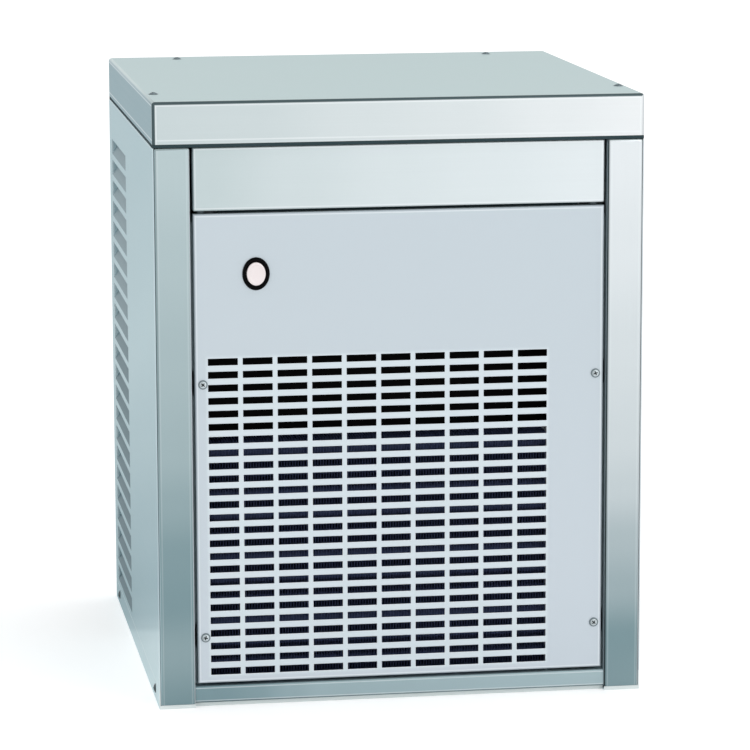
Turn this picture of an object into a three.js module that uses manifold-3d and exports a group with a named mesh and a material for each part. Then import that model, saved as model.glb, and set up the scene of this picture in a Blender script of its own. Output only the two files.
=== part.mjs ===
// Nugget ice maker head: a free-standing cabinet that stands on an ice bin and
// drops its ice through the base. Millimetres, +X right, +Y to the rear, +Z up,
// with the origin under the middle of the base and the front at -Y.

import * as THREE from 'three';
import { mergeVertices } from 'three/addons/utils/BufferGeometryUtils.js';
import Module from 'manifold-3d';

const wasm = await Module();
wasm.setup();

// Cabinet
const cabinetWidth = 560;
const cabinetDepth = 569;
const cabinetHeight = 695;
const sheet = 1.2; // casing sheet
const seat = 0.3; // gap left where one piece rests on another
const overrun = 1; // how far every cutting shape passes the wall it cuts
const halfWidth = cabinetWidth / 2;
const halfDepth = cabinetDepth / 2;
const frontY = -halfDepth;
const rearY = halfDepth;
const innerX = halfWidth - sheet;
const innerRearY = rearY - sheet;

// Base pan
const baseSheet = 1.5;
const baseFlange = 22; // upturned flange at the sides and the rear
const baseLip = 4.5; // low upturned lip along the front
const frontNotch = 8; // the pan stands back this far between the posts
const floorZ = baseSheet + seat;

// Lid and the seal under it
const lidSkirt = 47.5;
const sealHeight = 3.4;
const sealWidth = 9;
const sealInset = 0.4;
const frameTop = cabinetHeight - lidSkirt - sealHeight - 2 * seat;
const lidTabTop = cabinetHeight - sheet - seat;

// Front posts
const postSpan = 41.5;
const postDepth = 30;
const foldRadius = 2;
const postBottom = baseLip + seat;
const postOuterX = innerX - seat;
const postInnerX = halfWidth - postSpan;
const postRearY = frontY + postDepth;
const tabReach = 17; // screw tabs that the panel is held by
const tabThickness = 3;
const tabHeight = 28;
const tabTopHeight = 86;

// Fascia, front panel and rail, set back between the posts
const faceRecess = 4;
const faceY = frontY + faceRecess;
const sideJoint = 3.5;
const crossJoint = 3.4;
const edgeReturn = 12;
const fasciaHeight = 72;
const railHeight = 19.5;
const railDepth = 15;
const panelHalf = postInnerX - sideJoint;
const fasciaBottom = frameTop - fasciaHeight;
const railTop = postBottom + railHeight;
const panelBottom = railTop + crossJoint;
const panelTop = fasciaBottom - crossJoint;
const panelBackY = faceY + edgeReturn;

// Slots in the front panel: as many as fit between the margins
const slotWidth = 34;
const slotHeight = 8;
const slotPitchX = 39.5;
const slotPitchZ = 14.95;
const slotMargin = 15; // panel's left edge to the first slot
const slotRightMargin = 60; // least, from the last slot to the panel's right edge
const slotDrop = 168.3; // panel's top edge to the middle of the first row
const slotLowerMargin = 13; // least, from the middle of the last row to the panel's lower edge
const slotColumns = 1 + Math.floor((2 * panelHalf - slotMargin - slotWidth - slotRightMargin) / slotPitchX);
const slotRows = 1 + Math.floor((panelTop - slotDrop - slotLowerMargin - panelBottom) / slotPitchZ);

// Screws
const screwHeadRadius = 5.4;
const screwHeadHeight = 2.2;
const screwShankRadius = 2.1;
const screwShankLength = 14;
const screwHoleRadius = 2.5;
const screwSides = 8;
const panelScrewInset = 9;
const lowerScrewRise = 53.6;
const upperScrewRise = 346.8;
const lidFrontScrewInset = 10.6;
const lidFrontScrewSetback = 90.5;
const lidRearScrewInset = 34.5;
const lidRearScrewSide = 83; // side of the lid to its rear screws
const lidRearScrewX = halfWidth - lidRearScrewSide;
const baseScrewRise = 13;
const baseScrewFront = 48.5;
const baseScrewRear = 51.5;

// Louvres in the side panels, pressed inwards
const louvrePitch = 26.06;
const louvreHeight = 17;
const louvreLength = 190;
const louvreDepth = 12;
const louvreRearMargin = 34.5;
const louvreFirstRise = 17.5; // side panel's lower edge to the middle of the first louvre
const louvreTopMargin = 50; // least, from the middle of the last louvre to the panel's top
const sideEdgeInset = 1;
const sideBottom = baseFlange + seat;
const louvreRun = frameTop - sideBottom - louvreFirstRise - louvreTopMargin;
const louvreCount = 1 + Math.floor(louvreRun / louvrePitch);
const topFlange = 18;
const lidTabWidth = 30;
const lidTabFlange = 16;
const lidTabSetback = 3;

// Rear panel
const ventColumns = 2;
const ventRows = 6;
const ventWidth = 92;
const ventHeight = 7;
const ventPitchX = 110;
const ventPitchZ = 16;
const ventRise = 60;
const ventSide = 160; // left side to the middle of the vents
const ventCentreX = -halfWidth + ventSide;

// Push button, a little taller than wide
const buttonInset = 70.4; // panel's left edge to its middle
const buttonDrop = 68.6; // panel's top edge to its middle
const bezelHalfWidth = 15.5;
const bezelHalfHeight = 18.7;
const bezelThickness = 2.6;
const bezelBarrelDepth = 17;
const bezelWall = 2;
const lensHalfWidth = 10.7;
const lensHalfHeight = 13.2;
const lensPlay = 0.3;
const lensProud = 1;
const lensDepth = 11;
const lensStemRadius = 4;
const lensStemLength = 16;
const switchHalfWidth = 13;
const switchHalfHeight = 15;
const switchDepth = 20;
const ovalSides = 24;

// Electric box behind the button
const electricBoxWidth = 148;
const electricBoxDepth = 98;
const electricBoxHeight = 170;
const electricBoxDrop = 43.5; // from the top of the frame
const electricBoxBottom = frameTop - electricBoxDrop - electricBoxHeight;
const electricBoxSetback = 46.5;
const electricEarHeight = 100;
const coverLip = 2;
const boardThickness = 1.6;
const boardMargin = 16;
const boardStandoff = 6;
const standoffRadius = 3;

// Condenser behind the lower rows of slots
const condenserMargin = 5.25; // it reaches this far past the slots at each side
const condenserDepth = 40;
const condenserHeight = 306;
const condenserGap = 1.5; // from the bottom rail
const endPlate = 2;
const coreInset = 2.5;
const grilleWidth = (slotColumns - 1) * slotPitchX + slotWidth;
const condenserWidth = grilleWidth + 2 * condenserMargin;
const condenserX = -panelHalf + slotMargin + grilleWidth / 2;
const condenserFrontY = faceY + railDepth + condenserGap;
const condenserRearY = condenserFrontY + condenserDepth;
const condenserLeftX = condenserX - condenserWidth / 2;
const condenserRightX = condenserX + condenserWidth / 2;
const condenserTopZ = floorZ + condenserHeight;

// Fan
const shroudDepth = 14;
const bulkheadFlange = 12;
const pipeHoleClearance = 3;
const shroudHoleRadius = 108;
const collarDepth = 12;
const fanRise = 158;
const fanRadius = 100;
const fanSetback = 10; // shroud plate to the front of the blades
const bladeCount = 5;
const bladePitchAngle = 32;
const bladeThickness = 2;
const bladeChord = 52;
const hubRadius = 22;
const hubDepth = 26;
const fanShaftRadius = 4;
const fanShaftLength = 26;
const fanSides = 24;
const armCount = 4;
const armWidth = 12;
const armThickness = 3;
const armRadius = 116;
const armSetback = 45;
const motorRingRadius = 46;
const motorRingBore = 30;
const fanMotorRadius = 42;
const fanMotorLength = 55;
const fanMotorBossRadius = 16;
const fanMotorBossLength = 8;
const shaftPlay = 0.3;

// Compressor, in the middle of the room between the left louvres and the gear motor
const compressorRadius = 84;
const compressorHeight = 205;
const compressorDome = 38;
const compressorSeam = 4;
const compressorSides = 24;
const compressorFromRear = 172;
const compressorPlateMargin = 8;
const compressorPlateDepth = 150;
const compressorPlate = 3;
const rubberHeight = 18;
const rubberDepth = 26;
const rubberSpacing = 112;
const terminalBoxWidth = 56;
const terminalBoxDepth = 34;
const terminalBoxHeight = 60;
const terminalBoxRise = 90;
const stubRadius = 7;
const stubHeight = 22;
const stubOffset = 52;

// Gear motor. Each stage has a pinion and a wheel of one module.
const pinionTeeth = 12;
const fastWheelTeeth = 40;
const middleWheelTeeth = 40;
const slowWheelTeeth = 48;
const fastModule = 1.25;
const middleModule = 1.5;
const slowModule = 2;
const slowFace = 14;
const middleFace = 10;
const fastFace = 8;
const gearSpacing = 2; // air between gear layers and at the walls
const backlashShare = 0.16; // of a module, taken off each tooth's thickness
const pressureAngle = THREE.MathUtils.degToRad(20);
const slowStageAngle = THREE.MathUtils.degToRad(190);
const middleStageAngle = THREE.MathUtils.degToRad(165);
const fastStageAngle = THREE.MathUtils.degToRad(190);
const gearRimClearance = 3;
const housingWall = 5;
const housingFloor = 8;
const housingCover = 8;
const bearingDepth = 5;
const outputShaftRadius = 14;
const idlerShaftRadius = 5;
const rotorShaftRadius = 4.5;
const housingLegHeight = 26;
const housingLegRadius = 9;
const shaftSides = 12;
const hullSides = 16;
const tongueWidth = 20;
const tongueThickness = 8;
const tongueHeight = 6;

// Motor can on the gearbox
const canRadius = 42;
const canHeight = 104;
const canWall = 3;
const statorThickness = 12;
const rotorRadius = 26;
const rotorPlay = 1;
const rotorHeight = 62;
const canSides = 20;

// Evaporator and auger
const barrelBore = 28;
const barrelWall = 4;
const barrelFlangeRadius = 44;
const barrelFlange = 5;
const barrelFloor = 18;
const outputShaftRise = 8; // into the barrel's floor
const spoutHeadroom = 78;
const lidClearance = 88.5; // spout's roof to the top of the frame
const insulationRadius = 60;
const insulationBottom = 30;
const insulationTop = 34;
const augerCoreRadius = 16;
const flightPlay = 0.5;
const flightThickness = 4;
const flightTurns = 6;
const flightSteps = 12; // a turn
const flightEndMargin = 14;
const augerJournalRadius = 9;
const journalRise = 6; // above the extruding head
const headHeight = 42;
const headRadius = 40;
const extrusionHoleCount = 6;
const extrusionHoleRadius = 6.6;
const extrusionCircleRadius = 20;
const barrelSides = 24;
const augerFromRight = 24; // right side panel's inner face to the gearbox
const augerFromRear = 188;

// Chute and spout
const chuteWidth = 80;
const chuteDepth = 90;
const chuteWall = 2.5;
const chuteFoot = 8;
const spoutFall = 77.2; // spout's floor to the top of the chute
const spoutRearReach = 48;
const flapWidth = 62;
const flapHeight = 84;
const flapThickness = 2;
const flapStandoff = 3;
const flapDrop = 94.8; // chute's top to the flap's pins
const flapWindowInset = 8;
const pinRadius = 2;
const pinPlay = 0.4;
const earThickness = 3;
const earHeight = 12;
const pinLength = 6;

// Float tank
const tankWidth = 100;
const tankDepth = 78;
const tankHeight = 70;
const tankWall = 2.5;
const tankDrop = 39.7; // extruding head's underside to the tank's
const floatPivotInset = 14;
const floatPivotDrop = 14;
const floatArmLength = 58;
const floatArmThickness = 5;
const floatLength = 34;
const floatWidth = 48;
const floatHeight = 18;
const floatDrop = 20;

// Fittings on the rear panel
const fittingSides = 12;
const inletThreadRadius = 12.7;
const inletLength = 18;
const inletHexRadius = 18;
const inletHexThickness = 5;
const inletRise = 56; // above the tank's underside
const inletSideShift = 30;
const nozzleLength = 10;
const fittingPlay = 0.3;
const drainRadius = 9;
const drainLength = 20;
const drainFlangeRadius = 15;
const drainFlange = 3;
const drainInside = 16;
const drainSide = 220; // right side to the drain
const drainZ = 52;
const glandRadius = 9.5;
const glandNutRadius = 13;
const glandNutLength = 14;
const glandBore = 4.5;
const glandSide = 70; // right side to the gland
const glandZ = 150;

// Pipes
const pipeSides = 8;
const dischargeRadius = 4;
const liquidRadius = 3;
const suctionRadius = 6;
const feedRadius = 5;
const pipeSteps = 18;
const drierRadius = 12;
const drierLength = 98;
const drierNeck = 5;
const drierOffset = 17; // condenser's end plate to the drier's axis
const drierTopZ = 168;
const elbowRise = 22;
const pipeClearance = 18; // free space that a pipe keeps round a corner

// Finishes
const stainless = { color: 0xc9d6d8, roughness: 0.34, metalness: 0.85 };
const panelSatin = { color: 0xc9d3da, roughness: 0.45, metalness: 0.6 };
const galvanised = { color: 0xdfe5e7, roughness: 0.5, metalness: 0.6 };
const screwSteel = { color: 0x8f9a9c, roughness: 0.35, metalness: 0.9 };
const darkScrew = { color: 0x30363a, roughness: 0.5, metalness: 0.4 };
const blackRubber = { color: 0x16191b, roughness: 0.8, metalness: 0 };
const blackPlastic = { color: 0x141517, roughness: 0.4, metalness: 0 };
const lensPlastic = { color: 0xf1e8e8, roughness: 0.25, metalness: 0 };
const finBlack = { color: 0x1c2130, roughness: 0.6, metalness: 0.3 };
const blackEnamel = { color: 0x1b1c1e, roughness: 0.35, metalness: 0.1 };
const copper = { color: 0xb5714b, roughness: 0.35, metalness: 0.9 };
const castAluminium = { color: 0xb4b8ba, roughness: 0.55, metalness: 0.7 };
const gearSteel = { color: 0x8b8f92, roughness: 0.35, metalness: 0.9 };
const foamBlack = { color: 0x24272a, roughness: 0.95, metalness: 0 };
const whitePlastic = { color: 0xe9ecec, roughness: 0.4, metalness: 0 };
const circuitGreen = { color: 0x2f6b45, roughness: 0.5, metalness: 0 };
const brass = { color: 0xc2a14d, roughness: 0.35, metalness: 0.9 };

// A geometry as a closed solid with shared corners
function solidOf(geometry) {
  const bare = geometry.clone();
  bare.deleteAttribute('normal');
  bare.deleteAttribute('uv');
  const merged = mergeVertices(bare);
  const index = merged.index.array;
  const triangles = [];
  for (let i = 0; i < index.length; i += 3) {
    const [a, b, c] = index.slice(i, i + 3);
    if (a !== b && b !== c && c !== a) triangles.push(a, b, c);
  }
  return new wasm.Manifold(new wasm.Mesh({
    numProp: 3,
    vertProperties: new Float32Array(merged.attributes.position.array),
    triVerts: new Uint32Array(triangles),
  }));
}

function geometryOf(solid) {
  const mesh = solid.getMesh();
  const geometry = new THREE.BufferGeometry();
  geometry.setAttribute('position', new THREE.BufferAttribute(mesh.vertProperties, 3));
  geometry.setIndex(new THREE.BufferAttribute(mesh.triVerts, 1));
  geometry.computeVertexNormals();
  return geometry;
}

function join(...geometries) {
  return geometryOf(geometries.map(solidOf).reduce((sum, next) => sum.add(next)));
}

function cut(body, ...cutters) {
  return geometryOf(cutters.map(solidOf).reduce((rest, next) => rest.subtract(next), solidOf(body)));
}

// A block between two corners, given in any order
function block(x0, x1, y0, y1, z0, z1) {
  const geometry = new THREE.BoxGeometry(Math.abs(x1 - x0), Math.abs(y1 - y0), Math.abs(z1 - z0));
  return geometry.translate((x0 + x1) / 2, (y0 + y1) / 2, (z0 + z1) / 2);
}

function outline(points) {
  return new THREE.Shape(points.map(([u, v]) => new THREE.Vector2(u, v)));
}

function ring(radiusU, radiusV, sides, u = 0, v = 0, turn = 0) {
  const points = [];
  for (let i = 0; i < sides; i += 1) {
    const angle = turn + (i / sides) * Math.PI * 2;
    points.push([u + radiusU * Math.cos(angle), v + radiusV * Math.sin(angle)]);
  }
  return points;
}

function rectangle(u0, u1, v0, v1) {
  return [[u0, v0], [u1, v0], [u1, v1], [u0, v1]];
}

// An outline in two axes, carried along the third from one place to another
function prism(axis, points, from, to, holes = []) {
  const shape = outline(points);
  shape.holes = holes.map((hole) => new THREE.Path(hole.map(([u, v]) => new THREE.Vector2(u, v))));
  const geometry = new THREE.ExtrudeGeometry(shape, { depth: to - from, bevelEnabled: false });
  const frame = new THREE.Matrix4();
  if (axis === 'z') {
    return geometry.translate(0, 0, from);
  }
  if (axis === 'x') {
    frame.makeBasis(new THREE.Vector3(0, 1, 0), new THREE.Vector3(0, 0, 1), new THREE.Vector3(1, 0, 0));
    return geometry.applyMatrix4(frame).translate(from, 0, 0);
  }
  frame.makeBasis(new THREE.Vector3(1, 0, 0), new THREE.Vector3(0, 0, 1), new THREE.Vector3(0, -1, 0));
  return geometry.applyMatrix4(frame).translate(0, to, 0);
}

function bar(axis, radius, from, to, sides, u = 0, v = 0) {
  return prism(axis, ring(radius, radius, sides, u, v), from, to);
}

// The corner radius of a hole whose flats clear a round shaft of the given radius
function clearing(radius, sides) {
  return (radius + shaftPlay) / Math.cos(Math.PI / sides);
}

// A profile of [radius, height] points turned about the Z axis
function turned(profile, sides) {
  const points = profile.map(([radius, height]) => new THREE.Vector2(radius, height));
  return new THREE.LatheGeometry(points, sides).rotateX(Math.PI / 2);
}

function pipe(points, radius) {
  const path = new THREE.CatmullRomCurve3(points.map((p) => new THREE.Vector3(...p)), false, 'centripetal');
  const section = outline(ring(radius, radius, pipeSides));
  return new THREE.ExtrudeGeometry(section, { steps: pipeSteps, extrudePath: path, bevelEnabled: false });
}

const machine = new THREE.Group();

function assembly(x = 0, y = 0, z = 0) {
  const group = new THREE.Group();
  group.position.set(x, y, z);
  machine.add(group);
  return group;
}

function piece(group, name, geometry, finish, x = 0, y = 0, z = 0) {
  const mesh = new THREE.Mesh(geometry, new THREE.MeshStandardMaterial(finish));
  mesh.name = name;
  mesh.position.set(x, y, z);
  group.add(mesh);
  return mesh;
}

function spacing(module, wheelTeeth) {
  return (module * (pinionTeeth + wheelTeeth)) / 2;
}

function onward(place, distance, angle) {
  return [place[0] + distance * Math.cos(angle), place[1] + distance * Math.sin(angle)];
}

const outputPlace = [0, 0];
const lowIdlerPlace = onward(outputPlace, spacing(slowModule, slowWheelTeeth), slowStageAngle);
const highIdlerPlace = onward(lowIdlerPlace, spacing(middleModule, middleWheelTeeth), middleStageAngle);
const rotorPlace = onward(highIdlerPlace, spacing(fastModule, fastWheelTeeth), fastStageAngle);

// Places that several assemblies share
const outputTipRadius = slowModule * (slowWheelTeeth / 2 + 1);
const gearboxReach = outputTipRadius + gearRimClearance + housingWall;
const augerX = innerX - augerFromRight - gearboxReach;
const augerY = innerRearY - augerFromRear;
const shroudFrontY = condenserRearY + seat;
const shroudPlateY = shroudFrontY + shroudDepth;
const chuteX = augerX;
const chuteY = (shroudPlateY + augerY - gearboxReach) / 2; // midway between the fan's bulkhead and the gearbox
const chuteFromAuger = augerY - chuteY;
const fanZ = floorZ + fanRise;
const gearboxZ = floorZ + housingLegHeight;
const gearRoom = slowFace + middleFace + fastFace + 4 * gearSpacing;
const coverZ = gearboxZ + housingFloor + gearRoom + seat;
const barrelZ = coverZ + housingCover + seat;
const barrelLength = frameTop - lidClearance - spoutHeadroom - headHeight - 2 * seat - barrelZ;
const headZ = barrelZ + barrelLength + seat;
const tankBottom = headZ - tankDrop;
const drainX = halfWidth - drainSide;
const glandX = halfWidth - glandSide;
const tankX = augerX;
const tankRearY = innerRearY - seat;
const inletX = tankX + inletSideShift;
const inletZ = tankBottom + inletRise;

const casing = assembly();

function basePan() {
  const plan = [
    [-halfWidth, rearY], [-halfWidth, frontY], [-postInnerX, frontY], [-postInnerX, frontY + frontNotch],
    [postInnerX, frontY + frontNotch], [postInnerX, frontY], [halfWidth, frontY], [halfWidth, rearY],
  ];
  const parts = [prism('z', plan, 0, baseSheet)];
  const holes = [];
  for (const side of [-1, 1]) {
    const sideFront = frontY + sideEdgeInset;
    parts.push(block(side * halfWidth, side * innerX, sideFront, rearY, 0, baseFlange));
    parts.push(block(side * halfWidth, side * postInnerX, frontY, frontY + sheet, 0, baseLip));
    for (const y of [frontY + baseScrewFront, rearY - baseScrewRear]) {
      const [from, to] = [side * innerX, side * halfWidth].sort((a, b) => a - b);
      holes.push(bar('x', screwHoleRadius, from - overrun, to + overrun, screwSides, y, baseScrewRise));
    }
  }
  parts.push(block(-halfWidth, halfWidth, innerRearY, rearY, 0, baseFlange));
  const lipY = frontY + frontNotch;
  parts.push(block(-postInnerX, postInnerX, lipY, lipY + sheet, 0, baseLip));
  const dropX = chuteWidth / 2 - chuteWall;
  const dropY = chuteDepth / 2 - chuteWall;
  holes.push(block(chuteX - dropX, chuteX + dropX, chuteY - dropY, chuteY + dropY, -overrun,
    baseSheet + overrun));
  return cut(join(...parts), ...holes);
}

function frontPost(side) {
  const fold = foldRadius;
  const section = [
    [postOuterX, postRearY], [postOuterX, frontY + fold], [postOuterX - fold, frontY],
    [postInnerX + fold, frontY], [postInnerX, frontY + fold], [postInnerX, postRearY],
    [postInnerX + sheet, postRearY], [postInnerX + sheet, frontY + fold],
    [postInnerX + fold, frontY + sheet], [postOuterX - fold, frontY + sheet],
    [postOuterX - sheet, frontY + fold], [postOuterX - sheet, postRearY],
  ].map(([x, y]) => [side * x, y]);
  const cap = [
    [postOuterX, postRearY], [postOuterX, frontY + fold], [postOuterX - fold, frontY],
    [postInnerX + fold, frontY], [postInnerX, frontY + fold], [postInnerX, postRearY],
  ].map(([x, y]) => [side * x, y]);
  const parts = [prism('z', section, postBottom, frameTop), prism('z', cap, frameTop - sheet, frameTop)];
  const tabFront = panelBackY + seat;
  const tabX = [side * (postInnerX + sheet), side * (postInnerX - tabReach)];
  const holes = [];
  for (const rise of [lowerScrewRise, upperScrewRise]) {
    const z = panelBottom + rise;
    parts.push(block(...tabX, tabFront, tabFront + tabThickness, z - tabHeight / 2, z + tabHeight / 2));
    holes.push(bar('y', screwHoleRadius, tabFront - overrun, tabFront + tabThickness + overrun,
      screwSides, side * (panelHalf - panelScrewInset), z));
  }
  parts.push(block(...tabX, tabFront, tabFront + tabThickness, frameTop - tabTopHeight, frameTop));
  return cut(join(...parts), ...holes);
}

// A folded strip between the posts: a flat face with its top and bottom edges folded back
function foldedStrip(halfLength, bottom, top, depth) {
  const section = [
    [faceY, bottom], [faceY, top], [faceY + depth, top], [faceY + depth, top - sheet],
    [faceY + sheet, top - sheet], [faceY + sheet, bottom + sheet], [faceY + depth, bottom + sheet],
    [faceY + depth, bottom],
  ];
  return prism('x', section, -halfLength, halfLength);
}

function buttonPlace() {
  return [-panelHalf + buttonInset, panelTop - buttonDrop];
}

function frontPanel() {
  const [buttonX, buttonZ] = buttonPlace();
  const backY = faceY + sheet;
  const holes = [];
  for (let row = 0; row < slotRows; row += 1) {
    const z = panelTop - slotDrop - row * slotPitchZ;
    for (let column = 0; column < slotColumns; column += 1) {
      const x = -panelHalf + slotMargin + column * slotPitchX;
      holes.push(block(x, x + slotWidth, faceY - overrun, backY + overrun, z - slotHeight / 2, z + slotHeight / 2));
    }
  }
  const barrelU = lensHalfWidth + lensPlay + bezelWall + seat;
  const barrelV = lensHalfHeight + lensPlay + bezelWall + seat;
  holes.push(prism('y', ring(barrelU, barrelV, ovalSides, buttonX, buttonZ), faceY - overrun, backY + overrun));
  for (const side of [-1, 1]) {
    for (const rise of [lowerScrewRise, upperScrewRise]) {
      const x = side * (panelHalf - panelScrewInset);
      holes.push(bar('y', screwHoleRadius, faceY - overrun, backY + overrun, screwSides, x, panelBottom + rise));
    }
  }
  const face = block(-panelHalf, panelHalf, faceY, panelBackY, panelBottom, panelTop);
  const room = block(-panelHalf + sheet, panelHalf - sheet, backY, panelBackY + overrun, panelBottom + sheet,
    panelTop - sheet);
  return cut(face, room, ...holes);
}

function sidePanel(side) {
  const panelFront = frontY + sideEdgeInset;
  const slotRear = rearY - louvreRearMargin;
  const slotFront = slotRear - louvreLength;
  const holes = [];
  const blades = [];
  for (let i = 0; i < louvreCount; i += 1) {
    const bottom = sideBottom + louvreFirstRise + i * louvrePitch - louvreHeight / 2;
    const top = bottom + louvreHeight;
    holes.push(rectangle(slotFront, slotRear, bottom, top));
    const blade = [
      [side * halfWidth, bottom - sheet], [side * halfWidth, bottom],
      [side * (innerX - louvreDepth), top], [side * (innerX - louvreDepth), top - sheet],
    ];
    blades.push(prism('y', blade, slotFront, slotRear));
  }
  const [from, to] = [side * innerX, side * halfWidth].sort((a, b) => a - b);
  const skin = prism('x', rectangle(panelFront, rearY, sideBottom, frameTop), from, to, holes);
  const flangeX = side * (innerX - topFlange);
  const parts = [skin, ...blades];
  const flangeFront = postRearY + seat;
  const flangeRear = innerRearY - topFlange - seat;
  parts.push(block(side * halfWidth, flangeX, flangeFront, flangeRear, frameTop - sheet, frameTop));
  parts.push(block(side * halfWidth, side * (innerX - topFlange), innerRearY - seat - sheet,
    innerRearY - seat, sideBottom, frameTop - sheet - seat));
  const tabY = frontY + lidFrontScrewSetback;
  const upright = side * (innerX - topFlange + sheet);
  parts.push(block(upright, flangeX, tabY - lidTabWidth / 2, tabY + lidTabWidth / 2, frameTop - sheet,
    lidTabTop));
  parts.push(block(side * (innerX - lidTabSetback), flangeX, tabY - lidTabWidth / 2, tabY + lidTabWidth / 2,
    lidTabTop - sheet, lidTabTop));
  const hole = bar('z', screwHoleRadius, lidTabTop - sheet - overrun, lidTabTop + overrun, screwSides,
    side * (halfWidth - lidFrontScrewInset), tabY);
  return cut(join(...parts), hole);
}

function rearPanel() {
  const half = innerX - seat;
  const parts = [block(-half, half, innerRearY, rearY, sideBottom, frameTop)];
  parts.push(block(-half, half, innerRearY - topFlange, rearY, frameTop - sheet, frameTop));
  const cutters = [];
  for (let row = 0; row < ventRows; row += 1) {
    for (let column = 0; column < ventColumns; column += 1) {
      const x = ventCentreX + (column - (ventColumns - 1) / 2) * ventPitchX;
      const z = sideBottom + ventRise + row * ventPitchZ;
      cutters.push(block(x - ventWidth / 2, x + ventWidth / 2, innerRearY - overrun, rearY + overrun, z,
        z + ventHeight));
    }
  }
  for (const [radius, x, z] of [
    [inletThreadRadius, inletX, inletZ], [drainRadius, drainX, drainZ], [glandRadius, glandX, glandZ],
  ]) {
    cutters.push(bar('y', radius + fittingPlay, innerRearY - overrun, rearY + overrun, fittingSides, x, z));
  }
  for (const side of [-1, 1]) {
    const tabX = [side * lidRearScrewX - lidTabWidth / 2, side * lidRearScrewX + lidTabWidth / 2];
    const uprightY = innerRearY - topFlange;
    parts.push(block(...tabX, uprightY, uprightY + sheet, frameTop - sheet, lidTabTop));
    parts.push(block(...tabX, uprightY + sheet, rearY - lidRearScrewInset - lidTabFlange / 2,
      lidTabTop - sheet, lidTabTop));
    cutters.push(bar('z', screwHoleRadius, lidTabTop - sheet - overrun, lidTabTop + overrun, screwSides,
      side * lidRearScrewX, rearY - lidRearScrewInset));
  }
  return cut(join(...parts), ...cutters);
}

function lidSeal() {
  const [u, v] = [halfWidth - sealInset, halfDepth - sealInset];
  const bottom = frameTop + seat;
  return prism('z', rectangle(-u, u, -v, v), bottom, bottom + sealHeight,
    [rectangle(-u + sealWidth, u - sealWidth, -v + sealWidth, v - sealWidth)]);
}

function lidScrewPlaces() {
  const frontX = halfWidth - lidFrontScrewInset;
  const screwFrontY = frontY + lidFrontScrewSetback;
  const screwRearY = rearY - lidRearScrewInset;
  return [[-frontX, screwFrontY], [frontX, screwFrontY], [-lidRearScrewX, screwRearY], [lidRearScrewX, screwRearY]];
}

function topLid() {
  const skirtBottom = cabinetHeight - lidSkirt;
  const shell = block(-halfWidth, halfWidth, frontY, rearY, skirtBottom, cabinetHeight);
  const hollow = block(-innerX, innerX, frontY + sheet, innerRearY, skirtBottom - overrun,
    cabinetHeight - sheet);
  const holes = lidScrewPlaces().map(([x, y]) => bar('z', screwHoleRadius, cabinetHeight - sheet - overrun,
    cabinetHeight + overrun, screwSides, x, y));
  return cut(shell, hollow, ...holes);
}

function screw() {
  const crown = screwHeadHeight / 2;
  return turned([
    [0, -screwShankLength], [screwShankRadius, -screwShankLength], [screwShankRadius, 0],
    [screwHeadRadius, 0], [screwHeadRadius, crown], [screwHeadRadius - crown, screwHeadHeight],
    [0, screwHeadHeight],
  ], screwSides);
}

piece(casing, 'base_pan', basePan(), galvanised);
piece(casing, 'left_front_post', frontPost(-1), stainless);
piece(casing, 'right_front_post', frontPost(1), stainless);
piece(casing, 'bottom_rail', foldedStrip(postInnerX - seat, postBottom, railTop, railDepth), stainless);
piece(casing, 'upper_fascia', foldedStrip(panelHalf, fasciaBottom, frameTop, edgeReturn), stainless);
piece(casing, 'front_panel', frontPanel(), panelSatin);
piece(casing, 'left_side_panel', sidePanel(-1), stainless);
piece(casing, 'right_side_panel', sidePanel(1), stainless);
piece(casing, 'rear_panel', rearPanel(), stainless);
piece(casing, 'lid_seal', lidSeal(), blackRubber);
piece(casing, 'top_lid', topLid(), stainless);

lidScrewPlaces().forEach(([x, y], i) => {
  piece(casing, `lid_screw_${i + 1}`, screw(), screwSteel, x, y, cabinetHeight + seat);
});

let panelScrewNumber = 0;
for (const side of [-1, 1]) {
  for (const rise of [upperScrewRise, lowerScrewRise]) {
    panelScrewNumber += 1;
    const mesh = piece(casing, `panel_screw_${panelScrewNumber}`, screw(), screwSteel,
      side * (panelHalf - panelScrewInset), faceY - seat, panelBottom + rise);
    mesh.rotation.x = Math.PI / 2;
  }
}

let baseScrewNumber = 0;
for (const side of [-1, 1]) {
  for (const y of [frontY + baseScrewFront, rearY - baseScrewRear]) {
    baseScrewNumber += 1;
    const mesh = piece(casing, `base_screw_${baseScrewNumber}`, screw(), darkScrew,
      side * (halfWidth + seat), y, baseScrewRise);
    mesh.rotation.y = side * Math.PI / 2;
  }
}

// Push button. Its group stands on the panel's outer face, at the middle of the button.
const [buttonX, buttonZ] = buttonPlace();
const button = assembly(buttonX, faceY, buttonZ);
const bezelBoreU = lensHalfWidth + lensPlay;
const bezelBoreV = lensHalfHeight + lensPlay;
const lensFrontY = -seat - bezelThickness - lensProud;

function bezel() {
  const flange = prism('y', ring(bezelHalfWidth, bezelHalfHeight, ovalSides), -seat - bezelThickness, -seat);
  const barrel = prism('y', ring(bezelBoreU + bezelWall, bezelBoreV + bezelWall, ovalSides),
    -seat - bezelThickness, bezelBarrelDepth);
  const bore = prism('y', ring(bezelBoreU, bezelBoreV, ovalSides), -bezelThickness - overrun - seat,
    bezelBarrelDepth + overrun);
  return cut(join(flange, barrel), bore);
}

function buttonLens() {
  const cap = prism('y', ring(lensHalfWidth, lensHalfHeight, ovalSides), lensFrontY, lensFrontY + lensDepth);
  const stem = bar('y', lensStemRadius, lensFrontY + lensDepth - overrun,
    lensFrontY + lensDepth + lensStemLength, screwSides);
  return join(cap, stem);
}

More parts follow.
